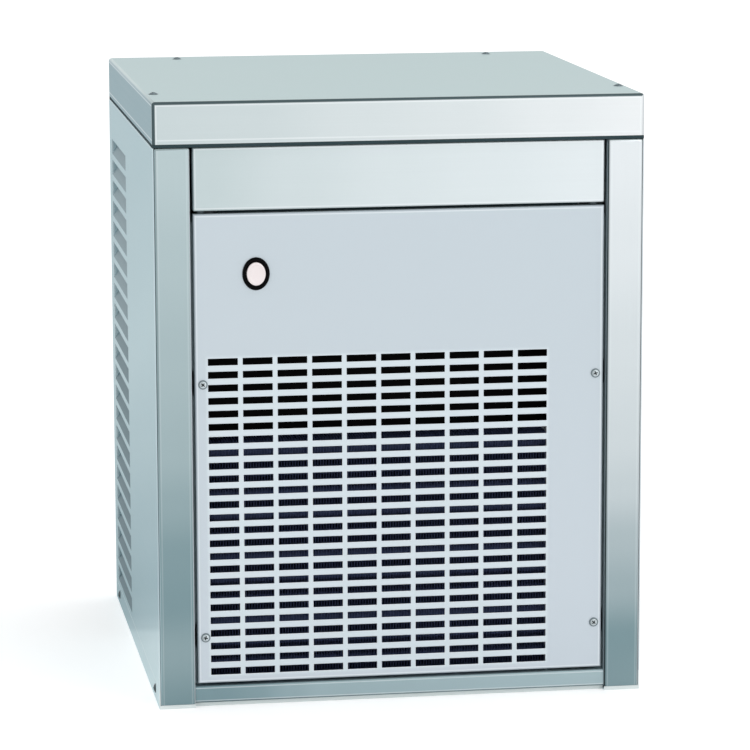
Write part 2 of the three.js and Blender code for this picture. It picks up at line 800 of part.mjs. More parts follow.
function switchBody() {
  const front = bezelBarrelDepth + seat;
  const body = prism('y', rectangle(-switchHalfWidth, switchHalfWidth, -switchHalfHeight, switchHalfHeight),
    front, front + switchDepth);
  const bore = bar('y', lensStemRadius + lensPlay, front - overrun, front + switchDepth - bezelWall, screwSides);
  return cut(body, bore);
}

piece(button, 'button_bezel', bezel(), blackPlastic);
piece(button, 'button_lens', buttonLens(), lensPlastic);
piece(button, 'button_switch', switchBody(), blackPlastic);

// Electric box, hung by an ear on the left post. Its group is at its front lower left corner.
const electric = assembly(-postInnerX + seat, frontY + electricBoxSetback, electricBoxBottom);

function electricBox() {
  const shell = block(0, electricBoxWidth, 0, electricBoxDepth, 0, electricBoxHeight);
  const hollow = block(sheet, electricBoxWidth - sheet, -overrun, electricBoxDepth - sheet, sheet,
    electricBoxHeight - sheet);
  const earBottom = (electricBoxHeight - electricEarHeight) / 2;
  const earFront = panelBackY + tabThickness + 2 * seat - frontY - electricBoxSetback;
  const ear = block(0, sheet, earFront, sheet, earBottom, earBottom + electricEarHeight);
  return join(cut(shell, hollow), ear);
}

function electricCover() {
  const left = sheet + coverLip;
  const plate = block(left, electricBoxWidth, -seat - sheet, -seat, 0, electricBoxHeight);
  const inner = coverLip * 2;
  const lip = block(left, electricBoxWidth - inner, -seat - sheet, coverLip, inner, electricBoxHeight - inner);
  const room = block(left + sheet, electricBoxWidth - inner - sheet, -seat, coverLip + overrun,
    inner + sheet, electricBoxHeight - inner - sheet);
  return cut(join(plate, lip), room);
}

function controlBoard() {
  const backY = electricBoxDepth - sheet - seat;
  const boardY = backY - boardStandoff;
  const [left, right] = [boardMargin, electricBoxWidth - boardMargin];
  const [bottom, top] = [boardMargin, electricBoxHeight - boardMargin];
  const parts = [block(left, right, boardY - boardThickness, boardY, bottom, top)];
  for (const x of [left + 2 * standoffRadius, right - 2 * standoffRadius]) {
    for (const z of [bottom + 2 * standoffRadius, top - 2 * standoffRadius]) {
      parts.push(bar('y', standoffRadius, boardY - boardThickness, backY, screwSides, x, z));
    }
  }
  // transformer, contactor and terminal strip: shares of the board's width and height, and of the box's depth
  const blockShares = [[0.08, 0.42, 0.1, 0.42, 0.38], [0.52, 0.92, 0.12, 0.4, 0.45], [0.1, 0.9, 0.76, 0.9, 0.2]];
  for (const [x0, x1, z0, z1, depthShare] of blockShares) {
    const [width, height] = [right - left, top - bottom];
    parts.push(block(left + x0 * width, left + x1 * width, boardY - boardThickness - depthShare * electricBoxDepth,
      boardY - boardThickness / 2, bottom + z0 * height, bottom + z1 * height));
  }
  return join(...parts);
}

piece(electric, 'electric_box', electricBox(), galvanised);
piece(electric, 'electric_box_cover', electricCover(), galvanised);
piece(electric, 'control_board', controlBoard(), circuitGreen);

// Condenser and fan, and the places where pipes pass the fan's bulkhead
const cooling = assembly();
const middleY = (condenserFrontY + condenserRearY) / 2;
const drierX = condenserRightX + drierOffset;
const lowPipeZ = floorZ + pipeClearance;

function dischargePlace() {
  return [condenserLeftX - pipeClearance - dischargeRadius, condenserTopZ - pipeClearance];
}

function condenser() {
  const coreTop = condenserTopZ - coreInset;
  const parts = [block(condenserLeftX + endPlate / 2, condenserRightX - endPlate / 2, condenserFrontY + coreInset,
    condenserRearY - coreInset, floorZ + 2 * coreInset, coreTop)];
  for (const x of [condenserLeftX, condenserRightX - endPlate]) {
    parts.push(block(x, x + endPlate, condenserFrontY, condenserRearY, floorZ, condenserTopZ));
  }
  parts.push(pipe([
    [condenserRightX - endPlate / 2, middleY, drierTopZ + elbowRise],
    [condenserRightX + drierOffset / 2, middleY, drierTopZ + elbowRise],
    [drierX, middleY, drierTopZ + elbowRise - drierOffset / 2],
    [drierX, middleY, drierTopZ],
  ], liquidRadius));
  return join(...parts);
}

const bladeFrontY = shroudPlateY + fanSetback;
const armY = shroudPlateY + armSetback;
const fanMotorY = armY + armThickness + seat;

// The fan's plate reaches from side to side, and up to the electric box, so that all air passes the condenser
function fanShroud() {
  const hole = ring(shroudHoleRadius, shroudHoleRadius, fanSides, condenserX, fanZ);
  const frame = rectangle(condenserLeftX, condenserRightX, floorZ, condenserTopZ);
  const inside = rectangle(condenserLeftX + sheet, condenserRightX - sheet, floorZ + sheet, condenserTopZ - sheet);
  const half = innerX - seat;
  const top = electricBoxBottom - seat;
  const [pipeX, pipeZ] = dischargePlace();
  const passages = [
    ring(dischargeRadius + pipeHoleClearance, dischargeRadius + pipeHoleClearance, pipeSides, pipeX, pipeZ),
    ring(liquidRadius + pipeHoleClearance, liquidRadius + pipeHoleClearance, pipeSides, drierX, lowPipeZ),
  ];
  const parts = [
    prism('y', rectangle(-half, half, floorZ, top), shroudPlateY - sheet, shroudPlateY, [hole, ...passages]),
    block(-half, half, shroudPlateY - sheet, shroudPlateY + bulkheadFlange, top - sheet, top),
    prism('y', frame, shroudFrontY, shroudPlateY - sheet, [inside]),
    prism('y', ring(shroudHoleRadius + sheet, shroudHoleRadius + sheet, fanSides, condenserX, fanZ),
      shroudPlateY - sheet, shroudPlateY + collarDepth, [hole]),
  ];
  const motorRing = prism('y', ring(motorRingRadius, motorRingRadius, fanSides), armY, armY + armThickness,
    [ring(motorRingBore, motorRingBore, fanSides)]);
  parts.push(motorRing.translate(condenserX, 0, fanZ));
  for (let i = 0; i < armCount; i += 1) {
    const angle = ((i + 1 / 2) / armCount) * Math.PI * 2;
    const spoke = block(motorRingBore + armWidth / 2, armRadius, armY, armY + armThickness, -armWidth / 2,
      armWidth / 2);
    const leg = block(armRadius - armThickness, armRadius, shroudPlateY - sheet / 2, armY + armThickness,
      -armWidth / 2, armWidth / 2);
    parts.push(spoke.rotateY(angle).translate(condenserX, 0, fanZ));
    parts.push(leg.rotateY(angle).translate(condenserX, 0, fanZ));
  }
  return join(...parts);
}

// Fan motor and blade stand on the fan's axis, with the motor's front face at y 0
const fan = assembly(condenserX, fanMotorY, fanZ);
const shaftReach = fanShaftLength - fanMotorBossLength;

function fanMotor() {
  const body = bar('y', fanMotorRadius, 0, fanMotorLength, fanSides);
  const boss = bar('y', fanMotorBossRadius, fanMotorLength - overrun, fanMotorLength + fanMotorBossLength, shaftSides);
  const bore = bar('y', clearing(fanShaftRadius, shaftSides), -overrun, shaftReach + overrun, shaftSides);
  return cut(join(body, boss), bore);
}

function fanBlade() {
  const front = bladeFrontY - fanMotorY;
  const middle = front + hubDepth / 2;
  const parts = [
    bar('y', hubRadius, front, front + hubDepth, fanSides),
    bar('y', fanShaftRadius, front + hubDepth - overrun, shaftReach, shaftSides),
  ];
  const root = hubRadius - hubRadius / 4;
  const blade = [
    [root, -bladeChord / 4], [fanRadius - bladeChord / 4, -bladeChord / 2], [fanRadius, -bladeChord / 4],
    [fanRadius, bladeChord / 4], [fanRadius - bladeChord / 4, bladeChord / 2], [root, bladeChord / 4],
  ];
  for (let i = 0; i < bladeCount; i += 1) {
    const vane = prism('y', blade, -bladeThickness / 2, bladeThickness / 2);
    vane.rotateX(THREE.MathUtils.degToRad(bladePitchAngle));
    vane.rotateY((i / bladeCount) * Math.PI * 2);
    parts.push(vane.translate(0, middle, 0));
  }
  return join(...parts);
}

piece(cooling, 'condenser', condenser(), finBlack);
piece(cooling, 'fan_shroud', fanShroud(), blackEnamel);
piece(fan, 'fan_motor', fanMotor(), blackEnamel);
piece(fan, 'fan_blade', fanBlade(), castAluminium);

// Compressor, with its group on the floor under its axis
const compressorX = (augerX + rotorPlace[0] - canRadius - innerX + louvreDepth) / 2;
const compressorY = innerRearY - compressorFromRear;
const compressorPlateWidth = 2 * (compressorRadius + compressorPlateMargin);
const compressorUnit = assembly(compressorX, compressorY, floorZ);
const compressorPlateZ = rubberHeight + seat;
const compressorTop = compressorPlateZ + compressorPlate + compressorHeight;

function compressor() {
  const bottom = compressorPlateZ + compressorPlate / 2;
  const seam = bottom + compressorHeight * 0.56;
  const waist = compressorRadius - compressorSeam;
  const body = turned([
    [0, bottom], [waist - compressorDome, bottom], [waist, bottom + compressorDome], [waist, seam - compressorSeam],
    [compressorRadius, seam - compressorSeam], [compressorRadius, seam], [waist, seam + compressorSeam],
    [waist, compressorTop - compressorDome], [waist - compressorDome / 2, compressorTop - compressorDome / 4],
    [waist - compressorDome, compressorTop], [0, compressorTop],
  ], compressorSides);
  const halfPlate = compressorPlateWidth / 2;
  const plate = block(-halfPlate, halfPlate, -compressorPlateDepth / 2, compressorPlateDepth / 2,
    compressorPlateZ, compressorPlateZ + compressorPlate);
  const boxFront = compressorRadius - compressorSeam * 3;
  const terminals = block(-terminalBoxWidth / 2, terminalBoxWidth / 2, boxFront, boxFront + terminalBoxDepth,
    terminalBoxRise, terminalBoxRise + terminalBoxHeight);
  const suction = bar('z', stubRadius, compressorTop - compressorDome, compressorTop + stubHeight, shaftSides, 0, stubOffset);
  const discharge = bar('y', stubRadius, -compressorRadius - stubHeight / 2, -compressorRadius / 2, shaftSides, 0,
    compressorTop - 2 * compressorDome);
  return join(body, plate, terminals, suction, discharge);
}

piece(compressorUnit, 'compressor', compressor(), blackEnamel);
for (const [name, side] of [['rubber_mount_front', -1], ['rubber_mount_rear', 1]]) {
  const mount = block(-compressorPlateWidth / 2, compressorPlateWidth / 2, -rubberDepth / 2, rubberDepth / 2, 0,
    rubberHeight);
  piece(compressorUnit, name, mount, blackRubber, 0, side * rubberSpacing / 2, 0);
}

// Gear motor. Its group is on the auger's axis, on the inside floor of the housing.
const gears = assembly(augerX, augerY, gearboxZ + housingFloor);
const slowZ = gearSpacing;
const middleZ = slowZ + slowFace + gearSpacing;
const fastZ = middleZ + middleFace + gearSpacing;

function involute(angle) {
  return Math.tan(angle) - angle;
}

// A spur gear's outline: straight chords between each flank's foot and tip
function gearOutline(teeth, module, phase) {
  const pitchRadius = (teeth * module) / 2;
  const baseRadius = pitchRadius * Math.cos(pressureAngle);
  const tipRadius = pitchRadius + module;
  const footRadius = pitchRadius - module * 1.25;
  const halfPitchAngle = Math.PI / (2 * teeth) - (backlashShare * module) / (2 * pitchRadius);
  const halfAt = (radius) => {
    const reach = Math.acos(Math.min(1, baseRadius / Math.max(radius, baseRadius)));
    return halfPitchAngle + involute(pressureAngle) - involute(reach);
  };
  const points = [];
  for (let i = 0; i < teeth; i += 1) {
    const middle = phase + (i / teeth) * Math.PI * 2;
    for (const [radius, half] of [
      [footRadius, -halfAt(footRadius)], [tipRadius, -halfAt(tipRadius)],
      [tipRadius, halfAt(tipRadius)], [footRadius, halfAt(footRadius)],
    ]) {
      points.push([radius * Math.cos(middle + half), radius * Math.sin(middle + half)]);
    }
  }
  return points;
}

// A pinion has a tooth towards its wheel, and the wheel a gap towards its pinion
function pinion(module, z, face, towards) {
  return prism('z', gearOutline(pinionTeeth, module, towards), z, z + face);
}

function wheel(teeth, module, z, face, towards) {
  return prism('z', gearOutline(teeth, module, towards + Math.PI / teeth), z, z + face);
}

const coverTop = gearRoom + seat + housingCover;
const outputTop = coverTop + seat + outputShaftRise;

function outputGear() {
  const shaft = bar('z', outputShaftRadius, -bearingDepth + seat, outputTop, shaftSides);
  const tongue = block(-tongueWidth / 2, tongueWidth / 2, -tongueThickness / 2, tongueThickness / 2,
    outputTop - overrun, outputTop + tongueHeight);
  return join(wheel(slowWheelTeeth, slowModule, slowZ, slowFace, slowStageAngle), shaft, tongue);
}

function idlerShaft() {
  return bar('z', idlerShaftRadius, -bearingDepth + seat, gearRoom + seat + bearingDepth - seat, shaftSides);
}

function lowIdler() {
  return join(idlerShaft(), pinion(slowModule, slowZ, slowFace, slowStageAngle + Math.PI),
    wheel(middleWheelTeeth, middleModule, middleZ, middleFace, middleStageAngle));
}

function highIdler() {
  return join(idlerShaft(), pinion(middleModule, middleZ, middleFace, middleStageAngle + Math.PI),
    wheel(fastWheelTeeth, fastModule, fastZ, fastFace, fastStageAngle));
}

const canFloorTop = coverTop + seat + canWall;
const rotorBottom = canFloorTop + 4 * canWall;
const canTop = coverTop + seat + canHeight;

function motorRotor() {
  const shaft = bar('z', rotorShaftRadius, -bearingDepth + seat, canTop - canWall, shaftSides);
  const drum = bar('z', rotorRadius, rotorBottom, rotorBottom + rotorHeight, canSides);
  return join(shaft, drum, pinion(fastModule, fastZ, fastFace, fastStageAngle + Math.PI));
}

function motorCan() {
  const bottom = coverTop + seat;
  const bore = clearing(rotorShaftRadius, canSides);
  const tunnel = rotorRadius + rotorPlay;
  const shell = canRadius - canWall;
  const statorBottom = rotorBottom;
  const statorTop = rotorBottom + rotorHeight;
  const lidUnder = canTop - 2 * canWall;
  return turned([
    [bore, bottom], [canRadius, bottom], [canRadius, canTop], [0, canTop], [0, canTop - canWall + seat],
    [bore, canTop - canWall + seat], [bore, lidUnder], [shell, lidUnder], [shell, statorTop], [tunnel, statorTop],
    [tunnel, statorBottom], [shell, statorBottom], [shell, canFloorTop], [bore, canFloorTop], [bore, bottom],
  ], canSides);
}

// The smallest outline that goes round several circles
function hullOutline(circles) {
  const points = circles.flatMap(([x, y, radius]) => ring(radius, radius, hullSides, x, y));
  points.sort((a, b) => a[0] - b[0] || a[1] - b[1]);
  const turn = (o, a, b) => (a[0] - o[0]) * (b[1] - o[1]) - (a[1] - o[1]) * (b[0] - o[0]);
  const half = (list) => {
    const chain = [];
    for (const point of list) {
      while (chain.length > 1 && turn(chain.at(-2), chain.at(-1), point) <= 0) chain.pop();
      chain.push(point);
    }
    return chain.slice(0, -1);
  };
  return [...half(points), ...half([...points].reverse())];
}

function gearCircles(margin) {
  return [
    [...outputPlace, outputTipRadius + margin],
    [...lowIdlerPlace, middleModule * (middleWheelTeeth / 2 + 1) + margin],
    [...highIdlerPlace, fastModule * (fastWheelTeeth / 2 + 1) + margin],
    [...rotorPlace, canRadius - gearRimClearance - housingWall + margin],
  ];
}

function gearboxHousing() {
  const outer = hullOutline(gearCircles(gearRimClearance + housingWall));
  const room = hullOutline(gearCircles(gearRimClearance));
  const parts = [prism('z', outer, -housingFloor, gearRoom)];
  const holes = [prism('z', room, 0, gearRoom + overrun)];
  for (const [place, radius] of [
    [outputPlace, outputShaftRadius], [lowIdlerPlace, idlerShaftRadius],
    [highIdlerPlace, idlerShaftRadius], [rotorPlace, rotorShaftRadius],
  ]) {
    holes.push(bar('z', clearing(radius, shaftSides), -bearingDepth, overrun, shaftSides, ...place));
  }
  const legReach = outputTipRadius - housingLegRadius;
  const feet = [
    [0, legReach], [0, -legReach], [legReach, 0], rotorPlace,
  ];
  for (const [x, y] of feet) {
    parts.push(bar('z', housingLegRadius, -housingFloor - housingLegHeight, -housingFloor / 2 - bearingDepth / 2,
      shaftSides, x, y));
  }
  return cut(join(...parts), ...holes);
}

function gearboxCover() {
  const bottom = gearRoom + seat;
  const top = bottom + housingCover;
  const body = prism('z', hullOutline(gearCircles(gearRimClearance + housingWall)), bottom, top);
  const holes = [
    bar('z', clearing(outputShaftRadius, shaftSides), bottom - overrun, top + overrun, shaftSides, ...outputPlace),
    bar('z', clearing(rotorShaftRadius, shaftSides), bottom - overrun, top + overrun, shaftSides, ...rotorPlace),
  ];
  for (const place of [lowIdlerPlace, highIdlerPlace]) {
    holes.push(bar('z', clearing(idlerShaftRadius, shaftSides), bottom - overrun, bottom + bearingDepth, shaftSides,
      ...place));
  }
  return cut(body, ...holes);
}

piece(gears, 'gearbox_housing', gearboxHousing(), castAluminium);
piece(gears, 'gearbox_cover', gearboxCover(), castAluminium);
piece(gears, 'output_gear', outputGear(), gearSteel);
piece(gears, 'idler_gear_low', lowIdler(), gearSteel, ...lowIdlerPlace);
piece(gears, 'idler_gear_high', highIdler(), gearSteel, ...highIdlerPlace);
piece(gears, 'motor_rotor', motorRotor(), gearSteel, ...rotorPlace);
piece(gears, 'motor_can', motorCan(), blackEnamel, ...rotorPlace);

// Evaporator, with its group on the gearbox cover
const evaporator = assembly(augerX, augerY, barrelZ);
const barrelRadius = barrelBore + barrelWall;

function evaporatorBarrel() {
  const throat = clearing(outputShaftRadius, barrelSides);
  return turned([
    [throat, 0], [barrelFlangeRadius, 0], [barrelFlangeRadius, barrelFlange], [barrelRadius, barrelFlange],
    [barrelRadius, barrelLength - barrelFlange], [barrelFlangeRadius, barrelLength - barrelFlange],
    [barrelFlangeRadius, barrelLength], [barrelBore, barrelLength], [barrelBore, barrelFloor],
    [throat, barrelFloor], [throat, 0],
  ], barrelSides);
}

function evaporatorInsulation() {
  const top = barrelLength - insulationTop;
  return turned([
    [barrelRadius + seat, insulationBottom], [insulationRadius, insulationBottom], [insulationRadius, top],
    [barrelRadius + seat, top], [barrelRadius + seat, insulationBottom],
  ], barrelSides);
}

// One unbroken helical flight round the core
function augerFlight(bottom, top) {
  const steps = flightTurns * flightSteps;
  const rise = top - bottom - flightThickness;
  const inner = augerCoreRadius - overrun;
  const outer = barrelBore - flightPlay;
  const positions = [];
  for (let i = 0; i <= steps; i += 1) {
    const angle = (i / flightSteps) * Math.PI * 2;
    const z = bottom + (i / steps) * rise;
    for (const [radius, lift] of [[inner, 0], [outer, 0], [outer, flightThickness], [inner, flightThickness]]) {
      positions.push(radius * Math.cos(angle), radius * Math.sin(angle), z + lift);
    }
  }
  const index = [0, 1, 2, 0, 2, 3];
  const last = steps * 4;
  index.push(last, last + 2, last + 1, last, last + 3, last + 2);
  for (let i = 0; i < steps; i += 1) {
    for (let side = 0; side < 4; side += 1) {
      const a = i * 4 + side;
      const b = i * 4 + ((side + 1) % 4);
      index.push(a, a + 4, b, b, a + 4, b + 4);
    }
  }
  const geometry = new THREE.BufferGeometry();
  geometry.setAttribute('position', new THREE.Float32BufferAttribute(positions, 3));
  geometry.setIndex(index);
  return geometry;
}

function auger() {
  const shoulder = barrelFloor + seat;
  const coreTop = barrelLength - flightEndMargin;
  const journalTop = barrelLength + seat + headHeight + journalRise;
  const body = turned([
    [0, outputShaftRise + seat], [outputShaftRadius, outputShaftRise + seat], [outputShaftRadius, shoulder],
    [augerCoreRadius, shoulder], [augerCoreRadius, coreTop], [augerJournalRadius, coreTop],
    [augerJournalRadius, journalTop], [0, journalTop],
  ], shaftSides);
  const slot = block(-tongueWidth / 2 - seat, tongueWidth / 2 + seat, -tongueThickness / 2 - seat,
    tongueThickness / 2 + seat, outputShaftRise - overrun, outputShaftRise + tongueHeight + seat);
  return cut(join(body, augerFlight(shoulder + flightEndMargin, coreTop - flightEndMargin)), slot);
}

function extruderHead() {
  const bottom = barrelLength + seat;
  const journalBore = clearing(augerJournalRadius, shaftSides);
  const holes = [ring(journalBore, journalBore, shaftSides)];
  for (let i = 0; i < extrusionHoleCount; i += 1) {
    const angle = (i / extrusionHoleCount) * Math.PI * 2;
    const [x, y] = onward([0, 0], extrusionCircleRadius, angle);
    holes.push(ring(extrusionHoleRadius, extrusionHoleRadius, screwSides, x, y));
  }
  const body = prism('z', ring(headRadius, headRadius, barrelSides), bottom, bottom + headHeight, holes);
  const flange = prism('z', ring(barrelFlangeRadius, barrelFlangeRadius, barrelSides), bottom, bottom + barrelFlange,
    [ring(headRadius - overrun, headRadius - overrun, barrelSides)]);
  return join(body, flange);
}

piece(evaporator, 'evaporator_barrel', evaporatorBarrel(), stainless);
piece(evaporator, 'evaporator_insulation', evaporatorInsulation(), foamBlack);
piece(evaporator, 'auger', auger(), stainless);
piece(evaporator, 'extruder_head', extruderHead(), castAluminium);

// Spout over the head, sloping down to the chute. Its outlines are in Y and Z.
const ice = assembly(augerX, augerY, 0);
const headTop = headZ + headHeight;
const spoutFloor = headTop + seat;
const chuteTop = spoutFloor - spoutFall;
const flapTop = chuteTop - flapDrop;
const chuteFront = -chuteFromAuger - chuteDepth / 2;
const chuteBack = -chuteFromAuger + chuteDepth / 2;

function iceSpout() {
  const roof = spoutFloor + spoutHeadroom;
  const lowRoof = chuteTop + seat + spoutHeadroom;
  const side = [
    [spoutRearReach, spoutFloor], [spoutRearReach, roof], [-spoutRearReach, roof], [chuteFront, lowRoof],
    [chuteFront, chuteTop + seat], [chuteBack, chuteTop + seat], [-spoutRearReach, spoutFloor],
  ];
  const w = chuteWall;
  const passage = [
    [spoutRearReach - w, spoutFloor + w], [spoutRearReach - w, roof - w], [-spoutRearReach + w, roof - w],
    [chuteFront + w, lowRoof - w], [chuteFront + w, chuteTop - overrun], [chuteBack - w, chuteTop - overrun],
    [chuteBack - w, chuteTop + w], [-spoutRearReach, spoutFloor + w],
  ];
  const shell = prism('x', side, -chuteWidth / 2, chuteWidth / 2);
  const hollow = prism('x', passage, -chuteWidth / 2 + w, chuteWidth / 2 - w);
  const mouth = bar('z', headRadius - housingWall, spoutFloor - overrun, spoutFloor + w + overrun, barrelSides);
  return cut(shell, hollow, mouth);
}

const flapX = -chuteWidth / 2 - flapStandoff - pinRadius;
const windowHalf = (flapWidth - 2 * flapWindowInset) / 2;

function iceChute() {
  const [u, v] = [chuteWidth / 2, chuteDepth / 2];
  const duct = prism('z', rectangle(-u, u, -v, v), floorZ, chuteTop,
    [rectangle(-u + chuteWall, u - chuteWall, -v + chuteWall, v - chuteWall)]);
  const foot = prism('z', rectangle(-u - chuteFoot, u + chuteFoot, -v - chuteFoot, v + chuteFoot), floorZ,
    floorZ + chuteWall, [rectangle(-u + overrun, u - overrun, -v + overrun, v - overrun)]);
  const window = block(-u - overrun, -u + chuteWall + overrun, -windowHalf, windowHalf,
    flapTop - flapHeight + flapWindowInset, flapTop - flapWindowInset);
  const parts = [duct, foot];
  const holes = [window];
  for (const side of [-1, 1]) {
    const near = side * (flapWidth / 2 + pinPlay);
    parts.push(block(-u + chuteWall / 2, flapX - earHeight / 2, near, near + side * earThickness,
      flapTop - earHeight / 2, flapTop + earHeight / 2));
    const [from, to] = [near - overrun, near + side * earThickness + overrun].sort((a, b) => a - b);
    holes.push(bar('y', pinRadius + pinPlay, from - overrun, to + overrun, screwSides, flapX, flapTop));
  }
  return cut(join(...parts), ...holes);
}

function chuteFlap() {
  const plate = block(-flapThickness / 2, flapThickness / 2, -flapWidth / 2, flapWidth / 2, -flapHeight, 0);
  const pin = bar('y', pinRadius, -flapWidth / 2 - pinLength, flapWidth / 2 + pinLength, screwSides);
  return join(plate, pin);
}

piece(ice, 'ice_spout', iceSpout(), blackPlastic);
piece(ice, 'ice_chute', iceChute(), blackPlastic, 0, -chuteFromAuger, 0);
piece(ice, 'chute_flap', chuteFlap(), blackPlastic, flapX, -chuteFromAuger, flapTop);

// Float tank on the rear panel. Its group is at the middle of its underside's rear edge.
const tank = assembly(tankX, tankRearY, tankBottom);
const pivotX = -tankWidth / 2 + tankWall + floatPivotInset;
const pivotY = -tankDepth / 2;
const pivotZ = tankHeight - floatPivotDrop;

function floatTank() {
  const half = tankWidth / 2;
  const shell = block(-half, half, -tankDepth, 0, 0, tankHeight);
  const room = block(-half + tankWall, half - tankWall, -tankDepth + tankWall, -tankWall, tankWall,
    tankHeight + overrun);
  const inlet = bar('y', inletThreadRadius + fittingPlay, -tankWall - overrun, overrun, fittingSides,
    inletX - tankX, inletRise);
  const outlet = bar('z', feedRadius - overrun, -overrun, tankWall + overrun, screwSides, 0, pivotY);
  const ears = [];
  const holes = [];
  for (const side of [-1, 1]) {
    const near = pivotY + side * (floatArmThickness / 2 + pinPlay);
    ears.push(block(-half + tankWall / 2, pivotX + earHeight / 2, near, near + side * earThickness,
      pivotZ - earHeight / 2, pivotZ + earHeight / 2));
  }
  holes.push(bar('y', pinRadius + pinPlay, pivotY - floatWidth, pivotY + floatWidth / 2, screwSides, pivotX, pivotZ));
  const shellCut = cut(shell, room, inlet, outlet);
  return join(shellCut, ...ears.map((ear) => cut(ear, ...holes)));
}

function floatArm() {
  const pin = bar('y', pinRadius, -floatArmThickness / 2 - pinLength, floatArmThickness / 2 + pinLength, screwSides);
  const arm = block(0, floatArmLength, -floatArmThickness / 2, floatArmThickness / 2, -floatArmThickness / 2,
    floatArmThickness / 2);
  const eye = bar('y', floatArmThickness, -floatArmThickness / 2, floatArmThickness / 2, shaftSides);
  const stalk = block(floatArmLength - floatArmThickness, floatArmLength, -floatArmThickness / 2,
    floatArmThickness / 2, -floatDrop, floatArmThickness / 2);
  const float = block(floatArmLength - floatArmThickness - floatLength / 2,
    floatArmLength - floatArmThickness + floatLength / 2, -floatWidth / 2, floatWidth / 2,
    -floatDrop - floatHeight / 2, -floatDrop + floatHeight / 2);
  return join(arm, eye, pin, stalk, float);
}

function waterInlet() {
  const face = rearY + seat;
  const nozzleEnd = tankRearY - tankWall - nozzleLength;
  const body = bar('y', inletThreadRadius, nozzleEnd, face + inletLength, fittingSides);
  const hex = bar('y', inletHexRadius, face, face + inletHexThickness, 6);
  const bore = bar('y', inletThreadRadius / 2, face, face + inletLength + overrun, fittingSides);
  return cut(join(body, hex), bore);
}

function hoseFitting(radius, length, flangeRadius, flange, inside, bore) {
  const face = rearY + seat;
  const body = bar('y', radius, innerRearY - inside, face + length, fittingSides);
  const collar = bar('y', flangeRadius, face, face + flange, fittingSides);
  const hole = bar('y', bore, innerRearY - inside - overrun, face + length + overrun, fittingSides);
  return cut(join(body, collar), hole);
}

const rearFittings = assembly();
piece(tank, 'float_tank', floatTank(), whitePlastic);
piece(tank, 'float_arm', floatArm(), whitePlastic, pivotX, pivotY, pivotZ);
piece(rearFittings, 'water_inlet_fitting', waterInlet(), brass, inletX, 0, inletZ);
piece(rearFittings, 'drain_spigot', hoseFitting(drainRadius, drainLength, drainFlangeRadius, drainFlange, drainInside,
  drainRadius - bezelWall), blackPlastic, drainX, 0, drainZ);
piece(rearFittings, 'cord_gland', hoseFitting(glandRadius, glandNutLength, glandNutRadius,
  glandNutLength - bezelWall, drainInside, glandBore), blackPlastic, glandX, 0, glandZ);

// Pipes, each ending just clear of what it meets
const pipes = assembly();

function filterDrier() {
  const top = drierTopZ - seat;
  const bottom = top - drierLength;
  const neck = liquidRadius + 2 * seat;
  return turned([
    [0, bottom], [neck, bottom], [drierRadius, bottom + drierNeck * 2], [drierRadius, top - drierNeck * 2],
    [neck, top], [0, top],
  ], shaftSides);
}

function dischargeLine() {
  const startY = compressorY - compressorRadius - stubHeight / 2 - seat;
  const z = floorZ + compressorTop - 2 * compressorDome;
  const [outsideX, topZ] = dischargePlace();
  return pipe([
    [compressorX, startY, z], [compressorX, startY - pipeClearance, z],
    [outsideX, shroudPlateY + 2 * pipeClearance, topZ], [outsideX, shroudPlateY + pipeClearance / 2, topZ],
    [outsideX, shroudPlateY - pipeClearance / 2, topZ], [condenserLeftX - pipeClearance / 2, middleY, topZ],
    [condenserLeftX - seat, middleY, topZ],
  ], dischargeRadius);
}

function liquidLine() {
  const startZ = drierTopZ - drierLength - 2 * seat;
  const chuteSideX = chuteX - chuteWidth / 2 - chuteFoot - pipeClearance;
  const betweenY = (chuteY + chuteDepth / 2 + augerY - gearboxReach) / 2;
  const endY = augerY - barrelRadius - seat;
  const endZ = barrelZ + (barrelFlange + insulationBottom) / 2;
  return pipe([
    [drierX, middleY, startZ], [drierX, middleY, startZ - pipeClearance],
    [drierX, shroudPlateY - pipeClearance / 2, lowPipeZ], [drierX, shroudPlateY + pipeClearance / 3, lowPipeZ],
    [(drierX + chuteSideX) / 2, shroudPlateY + (pipeClearance * 2) / 3, lowPipeZ],
    [chuteSideX, chuteY - chuteDepth / 2, lowPipeZ], [chuteSideX, chuteY + chuteDepth / 2, lowPipeZ],
    [(chuteSideX + augerX) / 2, betweenY, (lowPipeZ + endZ) / 2],
    [augerX, augerY - gearboxReach, endZ], [augerX, endY - pipeClearance, endZ], [augerX, endY, endZ],
  ], liquidRadius);
}

function suctionLine() {
  const startX = augerX - barrelRadius - seat;
  const startZ = barrelZ + barrelLength - insulationTop / 2 - barrelFlange / 2;
  const endY = compressorY + stubOffset;
  const endZ = floorZ + compressorTop + stubHeight + seat;
  return pipe([
    [startX, augerY, startZ], [startX - 2 * pipeClearance, augerY, startZ],
    [(startX + compressorX) / 2, (augerY + endY) / 2, (startZ + endZ) / 2 + 2 * pipeClearance],
    [compressorX + pipeClearance, endY, endZ + 3 * pipeClearance], [compressorX, endY, endZ + pipeClearance],
    [compressorX, endY, endZ],
  ], suctionRadius);
}

function feedTube() {
  const startY = tankRearY + pivotY;
  const endY = augerY + barrelRadius + seat;
  const endZ = barrelZ + (barrelFlange + insulationBottom) / 2;
  const bendY = augerY + insulationRadius + pipeClearance;
  return pipe([
    [tankX, startY, tankBottom - seat], [tankX, startY, tankBottom - 2 * pipeClearance],
    [tankX, startY, endZ + 4 * pipeClearance], [tankX, bendY, endZ + pipeClearance / 3],
    [tankX, endY + pipeClearance, endZ], [tankX, endY, endZ],
  ], feedRadius);
}

